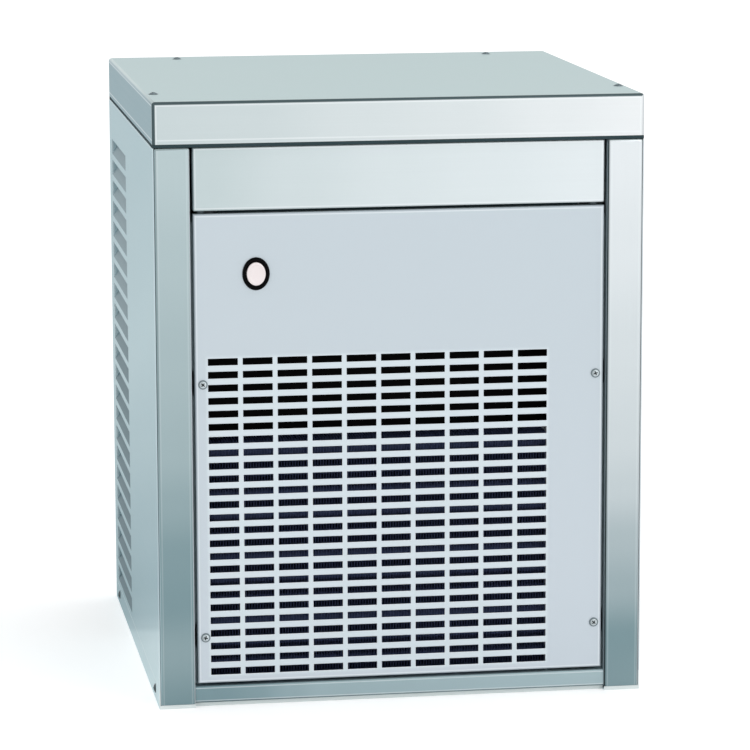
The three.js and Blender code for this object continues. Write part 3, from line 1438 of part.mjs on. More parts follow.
piece(pipes, 'filter_drier', filterDrier(), copper, drierX, middleY, 0);
piece(pipes, 'discharge_line', dischargeLine(), copper);
piece(pipes, 'liquid_line', liquidLine(), copper);
piece(pipes, 'suction_line', suctionLine(), foamBlack);
piece(pipes, 'water_feed_tube', feedTube(), whitePlastic);

export default machine;
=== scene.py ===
"""Looks of a nugget ice maker head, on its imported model. Metres, +X right, +Y to the rear, +Z up."""

import math
from functools import partial

import bmesh
import bpy
from mathutils import Matrix, Vector


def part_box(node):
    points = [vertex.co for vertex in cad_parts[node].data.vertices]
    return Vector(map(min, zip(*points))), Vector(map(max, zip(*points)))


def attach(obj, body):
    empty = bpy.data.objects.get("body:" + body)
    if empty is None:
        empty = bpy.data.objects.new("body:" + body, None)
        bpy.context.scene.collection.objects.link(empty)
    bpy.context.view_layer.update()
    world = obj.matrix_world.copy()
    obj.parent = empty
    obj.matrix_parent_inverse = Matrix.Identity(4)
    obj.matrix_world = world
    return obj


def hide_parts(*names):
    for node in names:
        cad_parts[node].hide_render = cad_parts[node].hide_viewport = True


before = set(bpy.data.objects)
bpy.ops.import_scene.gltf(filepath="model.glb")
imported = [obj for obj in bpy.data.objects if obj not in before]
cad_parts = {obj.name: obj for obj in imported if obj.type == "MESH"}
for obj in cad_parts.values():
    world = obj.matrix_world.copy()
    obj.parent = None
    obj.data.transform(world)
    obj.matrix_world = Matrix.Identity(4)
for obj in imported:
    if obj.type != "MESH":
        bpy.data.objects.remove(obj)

bl_info = {
    "name": "Nugget ice maker head",
    "version": (1, 0, 0),
    "blender": (4, 5, 0),
    "location": "3D View > Sidebar > Ice maker",
    "description": "Sheet casing, grille, button, screws and works of a nugget ice maker head",
    "category": "Object",
}

MM = 0.001
NEAR = 1e-5  # how far a vertex may lie from a line and still count as on it
COLLAR = 2.8 * MM  # from the lens to the edge of its hole in the front panel
GLINT_IN = 0.9 * MM  # from the end of a fold to its painted highlight line
SIDE_SLANT = 0.245  # how much the left side's painted light and shade fall from front to rear
MIDDLE = (0, 0, 0.35)  # where the lamps point, and from where the camera is set
CAMERA_ANGLES = (-8.880, 10.002, -0.172)  # azimuth, elevation and roll, in degrees
CAMERA_OFFSET = (0.0141, -0.01958)  # from MIDDLE to the middle of the picture, to the right and up
CAMERA_DISTANCE = 4.4336
CAMERA_ZOOM = 3656.9 / 750  # focal length over the sensor's width
SENSOR = 36


def linear(red, green, blue):
    """A screen colour of 0 to 255 as the linear colour that shaders take."""
    shares = [value / 255 for value in (red, green, blue)]
    return tuple(v / 12.92 if v <= 0.04045 else ((v + 0.055) / 1.055) ** 2.4 for v in shares)


def length(name, description, default):
    return bpy.props.FloatProperty(name=name, description=description, default=default * MM, min=0,
                                   precision=5, unit="LENGTH")


def count(name, description, default):
    return bpy.props.IntProperty(name=name, description=description, default=default, min=1)


def colour(name, description, red, green, blue):
    return bpy.props.FloatVectorProperty(name=name, description=description, subtype="COLOR", size=3,
                                         default=linear(red, green, blue), min=0, max=1)


class IceMakerSizes(bpy.types.PropertyGroup):
    sheet: length("Sheet", "Thickness of the casing sheet", 1.2)
    lid_fold: length("Lid fold", "Outer radius of the lid's folds", 3.6)
    post_fold: length("Post fold", "Outer radius of the folds in the posts", 2.8)
    face_fold: length("Face fold", "Outer radius of the folds in fascia, rail and front panel", 1.8)
    # The lip's bevel is real; its bright rim is a painted highlight
    lip: length("Lip", "Width of the bright rim round each slot", 0.45)
    gap: length("Gap", "Space left between neighbouring pieces", 0.3)
    post_depth: length("Post depth", "Front to back size of a corner post", 30)
    tab_reach: length("Tab reach", "How far a screw tab reaches out of its post", 17)
    tab_thickness: length("Tab thickness", "Thickness of the screw tabs", 3)
    tab_height: length("Tab height", "Height of a screw tab", 28)
    top_tab_height: length("Top tab height", "Height of the tab behind the fascia", 86)
    stop_lip: length("Stop lip", "Width of the lips that the front panel closes against", 10)
    slot_columns: count("Slot columns", "Slots side by side", 10)
    slot_rows: count("Slot rows", "Slots one above the other", 25)
    slot_width: length("Slot width", "Width of a slot", 34)
    slot_height: length("Slot height", "Height of a slot", 8)
    slot_pitch: length("Slot pitch", "Slot to slot, sideways", 39.5)
    row_pitch: length("Row pitch", "Slot to slot, upwards", 14.95)
    slot_margin: length("Slot margin", "Panel's left edge to the first slot", 15)
    slot_drop: length("Slot drop", "Panel's top edge to the middle of the first row", 168.3)
    slot_corner: length("Slot corner", "Rounding of a slot's corners", 0.9)
    louvres: count("Louvres", "Louvres in a side panel", 22)
    louvre_pitch: length("Louvre pitch", "Louvre to louvre", 26.06)
    louvre_height: length("Louvre height", "Height of a louvre", 18.5)
    louvre_length: length("Louvre length", "Length of a louvre", 190)
    louvre_depth: length("Louvre depth", "How far a louvre is pressed in", 12)
    louvre_margin: length("Louvre margin", "Louvres to the cabinet's rear", 34.5)
    louvre_rise: length("Louvre rise", "Side panel's lower edge to the middle of the first louvre", 17.5)
    top_flange: length("Top flange", "Width of the side panels' inner flanges", 18)
    lid_tab: length("Lid tab", "Width of the tabs that hold the lid", 30)
    head_height: length("Screw head", "Height of a screw head", 2.2)
    recess: length("Recess", "Depth of a screw's cross recess", 1.3)
    shank: length("Shank", "Radius of a screw's shank", 2.1)
    condenser_margin: length("Condenser margin", "How far the condenser passes the slots at each side", 5.25)
    end_plate: length("End plate", "Thickness of the condenser's end plates", 2)
    fin_pitch: length("Fin pitch", "Condenser fin to fin", 3.2)
    fin: length("Fin", "Thickness of a condenser fin", 0.5)
    tube: length("Tube", "Radius of a condenser tube", 4.8)
    tube_rows: count("Tube rows", "Condenser tubes one above the other", 12)
    elbow_rise: length("Elbow rise", "Filter drier's top to the condenser's outlet", 22.3)
    thread_pitch: length("Thread pitch", "Ridge to ridge on the water inlet", 1.8)
    barb_pitch: length("Barb pitch", "Barb to barb on the drain spigot", 4.2)
    shell_radius: length("Compressor radius", "Radius of the compressor's seam", 84)
    shell_dome: length("Compressor dome", "Rounding of the compressor's ends", 38)


class IceMakerColours(bpy.types.PropertyGroup):
    # steel_light and steel_dark are painted reflection: the ends of the posts' painted tone ramps
    steel_light: colour("Steel, light", "Sheet where it mirrors the bright side of the room", 229, 235, 238)
    steel_dark: colour("Steel, dark", "Sheet where it mirrors the dark side of the room", 128, 154, 160)
    # lid_left and lid_right are painted reflection: the lid's front lighter to the right
    lid_left: colour("Lid, left", "Lid's front at its left end", 202, 214, 216)
    lid_right: colour("Lid, right", "Lid's front at its right end", 236, 240, 242)
    # lid_top, lid_side, side and right are painted light and shade: the sheet's tone as it faces up, left or right
    lid_top: colour("Lid, top", "Lid's top", 188, 205, 206)
    lid_side: colour("Lid, left side", "Lid's side that faces left", 145, 171, 179)
    side: colour("Left side", "Sheet that faces left", 181, 204, 210)
    right: colour("Right side", "Sheet that faces right", 214, 222, 225)
    louvre: colour("Louvres", "Shaded faces of the louvres", 137, 158, 165)
    panel: colour("Panel", "Front panel", 199, 210, 217)
    # web is a painted highlight: the front panel's slotted field drawn lighter than its plain sheet
    web: colour("Webs", "Bright webs between the slots", 214, 225, 231)
    # Painted shade: the returns that show in the gaps between the outer sheets
    joint: colour("Return shade", "Shaded returns between the outer sheets", 152, 168, 174)
    base: colour("Base", "Base pan", 224, 232, 232)
    black: colour("Black", "Black plastic", 3, 3, 4)
    lens: colour("Lens", "Button's lens", 238, 229, 229)
    fins: colour("Fins", "Coated condenser fins", 76, 86, 118)


def sizes():
    return bpy.context.scene.ice_maker_sizes


def colours():
    return bpy.context.scene.ice_maker_colours


# ---- Shader groups ----

GREY = (0.6, 0.6, 0.6, 1)


def feed(tree, socket, value):
    """Links a socket to a node's output, or sets its value."""
    if hasattr(value, "is_output"):
        tree.links.new(value, socket)
    else:
        socket.default_value = (*value[:3], 1) if socket.type == "RGBA" else value


def add_node(tree, kind, inputs=(), **settings):
    """A node with its settings made, and its inputs fed by their names or numbers."""
    node = tree.nodes.new(f"ShaderNode{kind}")
    for name, value in settings.items():
        setattr(node, name, value)
    for label, value in dict(inputs).items():
        feed(tree, node.inputs[label], value)
    return node


def start_group(name, inputs, *outputs):
    """A new node group with inputs by name and default, and outputs by name. Gives also what its two end
    nodes give and take."""
    group = bpy.data.node_groups.new(name, "ShaderNodeTree")
    for label, default in inputs.items():
        kind = "Float" if isinstance(default, float) else {3: "Vector", 4: "Color"}[len(default)]
        group.interface.new_socket(label, in_out="INPUT", socket_type=f"NodeSocket{kind}").default_value = default
    for label in outputs:
        kind = "Color" if label == "Color" else "Float"
        group.interface.new_socket(label, in_out="OUTPUT", socket_type=f"NodeSocket{kind}")
    return group, group.nodes.new("NodeGroupInput").outputs, group.nodes.new("NodeGroupOutput").inputs


def end_group(group, sink, **values):
    for label, value in values.items():
        feed(group, sink[label], value)
    return group


def maths(tree, operation, *values, clamp=False):
    return add_node(tree, "Math", enumerate(values), operation=operation, use_clamp=clamp).outputs[0]


def mix(tree, mode, factor, first, second):
    return add_node(tree, "Mix", {0: factor, 6: first, 7: second}, data_type="RGBA", blend_type=mode).outputs[2]


def ramp_between(tree, value, low, high):
    return add_node(tree, "MapRange", {"Value": value, "From Min": low, "From Max": high},
                    interpolation_type="SMOOTHSTEP").outputs["Result"]


def coordinates(tree, kind):
    return tree.nodes.new("ShaderNodeTexCoord").outputs[kind]


def split(tree, vector):
    """The X, Y and Z of a vector, or of a texture coordinate given by its name."""
    if isinstance(vector, str):
        vector = coordinates(tree, vector)
    return list(add_node(tree, "SeparateXYZ", {0: vector}).outputs)


def noise(tree, place, scale, detail=2):
    return add_node(tree, "TexNoise", {"Vector": place, "Scale": scale, "Detail": detail}).outputs[0]


def facing_light_group():
    """Paints in light and shade by facing: sheet that faces forward, left, right and up gets its own tone, as the
    room lights it.
    """
    inputs = dict.fromkeys(("Front", "Left", "Right", "Top"), GREY)
    group, given, sink = start_group("Facing light", inputs, "Color")
    x, _, z = split(group, "Normal")
    side, top = (ramp_between(group, maths(group, "ABSOLUTE", axis), 0.35, 0.75) for axis in (x, z))
    tone = mix(group, "MIX", maths(group, "GREATER_THAN", x, 0), given["Left"], given["Right"])
    face = mix(group, "MIX", side, given["Front"], tone)
    return end_group(group, sink, Color=mix(group, "MIX", top, face, given["Top"]))


def fold_shade_group():
    """Paints shade into the folds round the front faces: by Dark to the left and up, by Soft to the right and down.
    """
    group, given, sink = start_group("Fold shade", {"Color": GREY, "Dark": 0.6, "Soft": 0.2}, "Color")
    calc = partial(maths, group)
    x, y, z = split(group, "Normal")
    largest = calc("MAXIMUM", calc("ABSOLUTE", x), calc("ABSOLUTE", y))
    largest = calc("MAXIMUM", largest, calc("ABSOLUTE", z))
    fold = ramp_between(group, calc("SUBTRACT", 1, largest), 0.003, 0.05)
    forward = ramp_between(group, calc("MULTIPLY", y, -1), 0.02, 0.25)
    left_up = ramp_between(group, calc("SUBTRACT", z, x), -0.1, 0.1)
    strong = calc("MULTIPLY", left_up, given["Dark"])
    weak = calc("MULTIPLY", calc("SUBTRACT", 1, left_up), given["Soft"])
    amount = calc("MULTIPLY", calc("MULTIPLY", fold, forward), calc("ADD", strong, weak))
    # The colour of the painted shade in the folds
    return end_group(group, sink, Color=mix(group, "MIX", amount, given["Color"], linear(56, 74, 78)))


def edge_glint_group():
    """A painted highlight: a light line on flat faces, a little inside the edges of the box from Low to High."""
    inputs = {"Color": GREY, "Low": (0, 0, 0), "High": (1, 1, 1), "Inset": 0.0045, "Width": 0.0011, "Amount": 0.4}
    group, given, sink = start_group("Edge glint", inputs, "Color")
    calc = partial(maths, group)
    nearest = 0.0
    sources = [split(group, vector) for vector in ("Object", "Normal", given["Low"], given["High"])]
    for place, normal, low, high in zip(*sources):
        inside = calc("MINIMUM", calc("SUBTRACT", place, low), calc("SUBTRACT", high, place))
        away = calc("ADD", inside, calc("MULTIPLY", calc("ABSOLUTE", normal), 10))
        off = calc("ABSOLUTE", calc("SUBTRACT", away, given["Inset"]))
        line = calc("SUBTRACT", 1, calc("DIVIDE", off, given["Width"]), clamp=True)
        nearest = calc("MAXIMUM", line, nearest)
    amount = calc("MULTIPLY", nearest, given["Amount"])
    return end_group(group, sink, Color=mix(group, "MIX", amount, given["Color"], linear(246, 251, 253)))


def brushed_group():
    """Fine lines of a brushed sheet along one axis: a tone, a height and a roughness."""
    inputs = {"Lines": (6, 6, 700), "Contrast": 0.03, "Roughness": 0.34}
    group, given, sink = start_group("Brushed grain", inputs, "Tone", "Height", "Roughness")
    calc = partial(maths, group)
    place = coordinates(group, "Object")
    stretched = add_node(group, "VectorMath", {0: place, 1: given["Lines"]}, operation="MULTIPLY").outputs[0]
    grain = noise(group, stretched, 1, 3)
    cloud = calc("SUBTRACT", noise(group, place, 5), 0.5)
    both = calc("ADD", calc("SUBTRACT", grain, 0.5), calc("MULTIPLY", cloud, 0.5))
    return end_group(group, sink, Height=grain, Tone=calc("ADD", calc("MULTIPLY", both, given["Contrast"]), 1),
                     Roughness=calc("ADD", calc("MULTIPLY", both, 0.12), given["Roughness"]))


def moulded_group():
    """The fine, even texture and slight cloudiness of moulded, cast or painted parts."""
    inputs = {"Color": GREY, "Grain": 900.0, "Contrast": 0.1, "Roughness": 0.5}
    group, given, sink = start_group("Moulded texture", inputs, "Color", "Height", "Roughness")
    calc = partial(maths, group)
    place = coordinates(group, "Object")
    grain = noise(group, place, given["Grain"])
    both = calc("SUBTRACT", calc("ADD", grain, noise(group, place, 22)), 1)
    spread = calc("MULTIPLY", both, given["Contrast"])
    scale = calc("ADD", spread, 1)
    toned = add_node(group, "VectorMath", {0: given["Color"], "Scale": scale}, operation="SCALE").outputs[0]
    return end_group(group, sink, Color=toned, Height=grain,
                     Roughness=calc("ADD", spread, given["Roughness"]))


GROUPS = {"Facing light": facing_light_group, "Fold shade": fold_shade_group, "Edge glint": edge_glint_group,
          "Brushed grain": brushed_group, "Moulded texture": moulded_group}


def place_group(tree, name, **values):
    """Places a group, which is built at its first use, and feeds its inputs. Gives its outputs."""
    group = bpy.data.node_groups.get(name) or GROUPS[name]()
    return add_node(tree, "Group", {label.capitalize(): value for label, value in values.items()},
                    node_tree=group).outputs


# ---- Materials ----

def start_material(name, metallic=0.0, specular=0.5, coat=0.0):
    material = bpy.data.materials.new(name)
    material.use_nodes = True
    shader = material.node_tree.nodes["Principled BSDF"].inputs
    for label, value in (("Metallic", metallic), ("Specular IOR Level", specular), ("Coat Weight", coat)):
        shader[label].default_value = value
    return material, material.node_tree, shader


def dress(tree, shader, face, texture, relief, strength):
    """Feeds a shader its colour, and the roughness and height of a texture."""
    feed(tree, shader["Base Color"], face)
    feed(tree, shader["Roughness"], texture["Roughness"])
    bump = add_node(tree, "Bump", {"Strength": strength, "Distance": relief, "Height": texture["Height"]})
    feed(tree, shader["Normal"], bump.outputs[0])


def tone_ramp(tree, value, start, end, shares, low, high):
    """A colour between low and high along an axis or a value, by (place, share of high) from start to end."""
    if isinstance(value, str):
        value = split(tree, "Object")["XYZ".index(value)]
    place = add_node(tree, "MapRange", {"Value": value, "From Min": start, "From Max": end})
    ramp = add_node(tree, "ValToRGB", {0: place.outputs[0]})
    ramp.color_ramp.interpolation = "EASE"
    points = ramp.color_ramp.elements
    while len(points) < len(shares):
        points.new(0.5)
    for point, (at, share) in zip(points, shares):
        point.position = at
    for point, (at, share) in zip(points, shares):
        point.color = (*[a + (b - a) * share for a, b in zip(low, high)], 1)
    return ramp.outputs[0]


def inside_box(tree, low, high, soft):
    """A mask of what lies inside a box seen from the front, with soft edges."""
    place = split(tree, "Object")
    mask = 1.0
    for axis in (0, 2):
        for start, end in ((low[axis] - soft, low[axis]), (high[axis] + soft, high[axis])):
            mask = maths(tree, "MULTIPLY", ramp_between(tree, place[axis], start, end), mask)
    return mask


def steel(name, front, side=None, top=None, lines=(6, 6, 700), roughness=0.36, metallic=0.6, specular=0.3,
          dark=0.6, soft=0.15, contrast=0.03, glint=None):
    """Brushed sheet. front, side and dark may be functions that give a node's output in the material's tree.
    glint is (box, inset, amount) for a painted highlight line inside the edges of a box."""
    material, tree, shader = start_material(name, metallic, specular)
    face, left, shade = (each(tree) if callable(each) else each for each in (front, side, dark))
    # Painted light and shade: each facing direction gets its own tone
    if side is not None:
        face = place_group(tree, "Facing light", front=face, left=left, right=colours().right, top=top)[0]
    if glint is not None:
        (low, high), inset, amount = glint
        face = place_group(tree, "Edge glint", color=face, low=low, high=high, inset=inset, amount=amount)[0]
    # Painted shade in the folds
    folded = place_group(tree, "Fold shade", color=face, dark=shade, soft=soft)[0]
    grain = place_group(tree, "Brushed grain", lines=lines, roughness=roughness, contrast=contrast)
    dress(tree, shader, mix(tree, "MULTIPLY", 1, folded, grain["Tone"]), grain, 0.00004, 0.25)
    return material


def moulded(name, tone, roughness=0.5, metallic=0.0, specular=0.5, grain=900, contrast=0.1, relief=0.00003, coat=0.0):
    material, tree, shader = start_material(name, metallic, specular, coat)
    texture = place_group(tree, "Moulded texture", color=tone, grain=grain, contrast=contrast, roughness=roughness)
    dress(tree, shader, texture["Color"], texture, relief, 0.3)
    return material


# Places from 0 to 1 along a face, each with its share of the second of the face's two tones.
# These ramps paint in reflected light and shade: the posts darker towards the bottom, the lid, fascia and rail
# lighter to the right, the sides and louvres by height.
LEFT_POST_SHARES = [(0.0, 0.0), (0.1, 0.24), (0.19, 0.0), (0.28, 0.05), (0.37, 0.3), (0.46, 0.53), (0.63, 0.67),
                    (0.81, 0.82), (0.98, 1.0)]
RIGHT_POST_SHARES = [(0.0, 0.04), (0.1, 0.0), (0.19, 0.23), (0.28, 0.37), (0.37, 0.6), (0.46, 0.71), (0.63, 0.79),
                     (0.81, 0.92), (0.98, 1.0)]
SIDE_SHARES = [(0.0, 2.3), (0.11, 2.05), (0.137, 1.7), (0.152, 0.75), (0.18, 0.3), (0.23, 0.05), (0.33, 0.25),
               (0.51, 0.7), (0.69, 1.05), (0.87, 0.9), (1.0, 0.78)]
RAIL_SHARES = [(0.0, 0.0), (0.13, 0.05), (0.2, 0.2), (0.27, 0.55), (0.33, 0.75), (1.0, 1.0)]
LOUVRE_SHARES = [(0.0, 0.0), (0.45, 0.1), (0.7, 0.85), (1.0, 1.0)]
LID_SHARES = [(0.0, 0.0), (0.2, 0.1), (0.41, 0.33), (0.62, 0.47), (0.82, 0.75), (1.0, 1.0)]
FASCIA_SHARES = [(0.1, 0.0), (0.29, 0.38), (0.49, 0.62), (0.69, 0.78), (0.9, 1.0)]
EVEN = [(0.0, 0.0), (1.0, 1.0)]

satin = partial(steel, roughness=0.5, metallic=0.35, specular=0.1)
PLAIN = {"dark": 0, "soft": 0}
FINISHES = {}


def post_span(side):
    """Lowest and highest corner of a post's channel, and the X of its inner edge."""
    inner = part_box("bottom_rail")[1].x + sizes().gap
    low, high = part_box("left_front_post" if side < 0 else "right_front_post")
    xs = sorted((side * inner, side * max(abs(low.x), abs(high.x))))
    return Vector((xs[0], low.y, low.z)), Vector((xs[1], low.y + sizes().post_depth, high.z)), inner


def slot_edges():
    """Left and right edges of the slot columns, and lower and upper edges of the rows, from the top down."""
    size = sizes()
    low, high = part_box("front_panel")
    lefts = [low.x + size.slot_margin + column * size.slot_pitch for column in range(size.slot_columns)]
    middles = [high.z - size.slot_drop - row * size.row_pitch for row in range(size.slot_rows)]
    half = size.slot_height / 2
    return [(left, left + size.slot_width) for left in lefts], [(z - half, z + half) for z in middles]


def make_finishes():
    tone = colours()
    size = sizes()
    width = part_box("top_lid")[1].x
    post_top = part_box("left_front_post")[1].z
    side_low, side_high = (corner.copy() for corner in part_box("left_side_panel"))
    side_high.z = post_top
    panel_low, panel_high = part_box("front_panel")
    columns, rows = slot_edges()

    # Painted reflected light and shade: tone ramps along X and up Z
    def along_x(low, high, shares):
        return lambda tree: tone_ramp(tree, "X", -width, width, shares, low, high)

    def along_z(shares, low, high):
        return lambda tree: tone_ramp(tree, "Z", 0, post_top, shares, low, high)

    # The front panel's tone: a little lighter towards the bottom, with a painted highlight over its slotted field
    def panel_face(tree):
        low = (columns[0][0], 0, rows[-1][0])
        high = (columns[-1][1], 0, rows[0][1])
        plain = tone_ramp(tree, "Z", panel_low.z, panel_high.z, EVEN, linear(204, 214, 222), tone.panel)
        return mix(tree, "MIX", inside_box(tree, low, high, 4 * MM), plain, tone.web)

    # Painted light and shade on the sides: tones by height, shifted from front to rear
    def side_face(tree):
        calc = partial(maths, tree)
        _, depth, height = split(tree, "Object")
        rise = calc("MULTIPLY", calc("SUBTRACT", depth, side_low.y), SIDE_SLANT)
        return tone_ramp(tree, calc("ADD", height, rise), 0, post_top, SIDE_SHARES, linear(152, 180, 188), tone.side)

    # Painted shade on the left post's folds, fading out towards the bottom
    def fading_shade(tree):
        height = split(tree, "Object")[2]
        return maths(tree, "MULTIPLY", ramp_between(tree, height, 110 * MM, 360 * MM), 0.45)

    # Painted highlights: light lines just inside the edges of the lid, posts, fascia, rail, front panel and sides
    def glint(node, fold, amount):
        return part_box(node), fold + GLINT_IN, amount

    upright = (700, 700, 6)
    lid_glint = glint("top_lid", size.lid_fold, 0.6)
    above, aside = Vector((0, 0, 1)), Vector((1, 0, 0))
    # The posts' painted highlight lines run along their upright edges only
    posts = [((low - above, high + above), size.post_fold + GLINT_IN, 0.16)
             for low, high, _ in (post_span(-1), post_span(1))]
    low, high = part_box("bottom_rail")
    rail_glint = ((low - aside, high + aside), size.face_fold + 0.5 * MM, 0.5)

    def side_glint(amount):
        return (side_low, side_high), GLINT_IN, amount

    FINISHES.update({
        "lid": steel("Lid steel", along_x(tone.lid_left, tone.lid_right, LID_SHARES), tone.lid_side, tone.lid_top,
                     dark=0.95, glint=lid_glint),
        # Lit and shaded copies of the lid steel: painted light and shade on its top, left end and right end
        "lid top": satin("Lid top steel", tone.lid_top, roughness=0.6, dark=0),
        "lid left": satin("Lid left steel", tone.lid_side, dark=0, glint=lid_glint),
        "lid right": satin("Lid right steel", linear(206, 215, 219), dark=0, glint=lid_glint),
        "left post": steel("Left post steel", along_z(LEFT_POST_SHARES, tone.steel_dark, linear(186, 203, 206)),
                           tone.side, tone.lid_top, upright, dark=fading_shade, glint=posts[0]),
        # The right post's left-facing return is painted near black: painted shade in the gap beside the panel
        "right post": steel("Right post steel", along_z(RIGHT_POST_SHARES, tone.steel_dark, tone.steel_light),
                            linear(34, 46, 50), tone.lid_top, upright, dark=0.2, soft=0.08, glint=posts[1]),
        "fascia": steel("Fascia steel", along_x(linear(198, 212, 214), linear(227, 235, 238), FASCIA_SHARES),
                        dark=0.4, glint=glint("upper_fascia", size.face_fold, 0.5)),
        "rail": steel("Rail steel", along_x(linear(130, 157, 164), linear(174, 195, 200), RAIL_SHARES), dark=0.3,
                      soft=0.5, glint=rail_glint),
        "left side": satin("Left side steel", side_face, dark=0.3, glint=side_glint(0.35)),
        "right side": satin("Right side steel", along_z(EVEN, linear(196, 207, 211), tone.right), dark=0.3,
                            glint=side_glint(0.2)),
        # Painted shade on the louvres' slanted faces, darker towards the bottom
        "left louvre": satin("Left louvre steel", along_z(LOUVRE_SHARES, linear(102, 125, 133), tone.louvre),
                             **PLAIN),
        "right louvre": satin("Right louvre steel", along_z(EVEN, linear(146, 158, 163), linear(170, 180, 184)),
                              **PLAIN),
        # Painted shade for the returns in the gaps
        "joint": moulded("Shaded return", tone.joint, 0.6, specular=0.1),
        "panel": steel("Front panel satin", panel_face, roughness=0.5, metallic=0.35, contrast=0.015, dark=0.25,
                       glint=glint("front_panel", size.face_fold, 0.5)),
        # Painted highlight on the slots' lips
        "slot rim highlight": steel("Slot rim highlight", linear(232, 240, 247), roughness=0.5, metallic=0.35, **PLAIN),
        # Painted light and shade: the base's left-facing sheet takes the side panel's tone ramp
        "base": satin("Base pan zinc", tone.base, side_face, tone.base, dark=0.1),
        "zinc": steel("Zinc sheet", linear(214, 220, 224), roughness=0.5, metallic=0.5, dark=0.1),
        # The screws' steel, and its painted lighter copy for the panel screws' domes
        "screw": steel("Screw steel", linear(124, 137, 142), metallic=0.85, dark=0.3, soft=0),
        "screw dome": steel("Screw dome", linear(206, 216, 220), dark=0.3, soft=0),
        # Painted shade inside the screws' cross recesses
        "recess": moulded("Screw recess", linear(24, 30, 32), 0.6, 0.3, specular=0.1),
        "dark screw": moulded("Blackened screw", linear(86, 96, 99), 0.4, 0.5, specular=0.2),
        "rubber": moulded("Black rubber", linear(22, 24, 26), 0.8, specular=0.2, contrast=0.25),
        # The lid seal's own colour, also used as painted shade behind the fascia's lower gap
        "seal": moulded("Seal strip", linear(52, 68, 72), 0.8, specular=0.05, contrast=0.2),
        "black plastic": moulded("Black plastic", tone.black, 0.45, specular=0.05, contrast=0.15),
        "lens": moulded("Milky lens", tone.lens, 0.25, contrast=0.02, coat=0.3),
        "fins": moulded("Coated fins", tone.fins, 0.6, specular=0.05, contrast=0.3),
        "enamel": moulded("Black enamel", linear(6, 6, 8), specular=0.06, contrast=0.15),
        "copper": moulded("Copper", linear(190, 118, 84), 0.35, 0.95, contrast=0.2),
        "cast": moulded("Cast aluminium", linear(184, 188, 190), 0.55, 0.8, grain=450, relief=0.0001),
        "gear": moulded("Cut steel", linear(146, 150, 154), 0.35, 0.9),
        "barrel": steel("Barrel steel", linear(196, 202, 206), metallic=0.85, **PLAIN),
        "foam": moulded("Closed-cell foam", linear(36, 38, 41), 0.95, specular=0.1, grain=600, contrast=0.4,
                        relief=0.0003),
        "white plastic": moulded("White plastic", linear(232, 234, 234), 0.4, contrast=0.04),
        "board": moulded("Circuit board", linear(44, 104, 66), 0.45, contrast=0.3),
        "brass": moulded("Brass", linear(196, 162, 82), 0.32, 0.95, contrast=0.15),
    })


CAD_FINISHES = {
    "seal": ["lid_seal"],
    "base": ["base_pan"],
    "zinc": ["electric_box", "electric_box_cover"],
    # The rear panel takes the left side's painted light and shade too
    "left side": ["rear_panel"],
    "enamel": ["fan_shroud", "fan_motor", "motor_can"],
    "cast": ["fan_blade", "gearbox_housing", "gearbox_cover", "extruder_head"],
    "rubber": ["rubber_mount_front", "rubber_mount_rear"],
    "gear": ["output_gear", "idler_gear_low", "idler_gear_high", "motor_rotor"],
    "barrel": ["evaporator_barrel", "auger"],
    "foam": ["evaporator_insulation", "suction_line"],
    "black plastic": ["ice_spout", "ice_chute", "chute_flap", "button_switch"],
    "white plastic": ["float_tank", "float_arm", "water_feed_tube"],
    "copper": ["filter_drier", "discharge_line", "liquid_line"],
    "board": ["control_board"],
}


def finish_solids():
    """Makes every finish and gives the model's own pieces theirs."""
    make_finishes()
    for name, nodes in CAD_FINISHES.items():
        for node in nodes:
            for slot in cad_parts[node].material_slots:
                slot.material = FINISHES[name]


# ---- Mesh tools ----

def half_span(node):
    """Middle and half size of a node's box."""
    low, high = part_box(node)
    return (low + high) / 2, (high - low) / 2


def add_box(bm, low, high):
    """A box between two corners. Gives its vertices."""
    verts = bmesh.ops.create_cube(bm, size=1)["verts"]
    bmesh.ops.scale(bm, vec=[b - a for a, b in zip(low, high)], verts=verts)
    bmesh.ops.translate(bm, vec=[(a + b) / 2 for a, b in zip(low, high)], verts=verts)
    return verts


def side_box(bm, side, near, far, low, high):
    """A box at the left (side -1) or right (side 1), from near to far along X, low and high as (Y, Z)."""
    xs = sorted((side * near, side * far))
    add_box(bm, (xs[0], *low), (xs[1], *high))


def of_type(geometry, kind=bmesh.types.BMVert):
    return [item for item in geometry if isinstance(item, kind)]


def edges_at(verts):
    return list({edge for vert in verts for edge in vert.link_edges})


def faces_at(verts):
    return list({face for vert in verts for face in vert.link_faces})


def drop_faces(bm, faces):
    """Takes away faces, and the edges that then belong to none."""
    bmesh.ops.delete(bm, geom=faces, context="FACES_ONLY")
    bmesh.ops.delete(bm, geom=[edge for edge in bm.edges if not edge.link_faces], context="EDGES")


def drop_facing(bm, test):
    bm.normal_update()
    drop_faces(bm, [face for face in bm.faces if test(face.normal)])


def face_out(bm, direction):
    """Turns all faces over where the largest one faces away from a direction."""
    bm.normal_update()
    if max(bm.faces, key=lambda face: face.calc_area()).normal.dot(direction) < 0:
        bmesh.ops.reverse_faces(bm, faces=bm.faces[:])


def draw_out(bm, edges, move):
    """Extrudes edges by a vector."""
    made = bmesh.ops.extrude_edge_only(bm, edges=edges)["geom"]
    bmesh.ops.translate(bm, vec=move, verts=of_type(made))


def round_off(bm, geometry, width, segments=3, affect="EDGES"):
    return bmesh.ops.bevel(bm, geom=geometry, offset=width, offset_type="OFFSET", segments=segments, profile=0.5,
                           affect=affect, material=-1, clamp_overlap=True)["faces"]


def folded_edges(bm, angle=30):
    limit = math.radians(angle)
    return [edge for edge in bm.edges if len(edge.link_faces) == 2 and edge.calc_face_angle(0) > limit]


def on_line(edge, axis, value):
    return all(abs(vert.co[axis] - value) < NEAR for vert in edge.verts)


def between(value, pairs):
    return any(low < value < high for low, high in pairs)


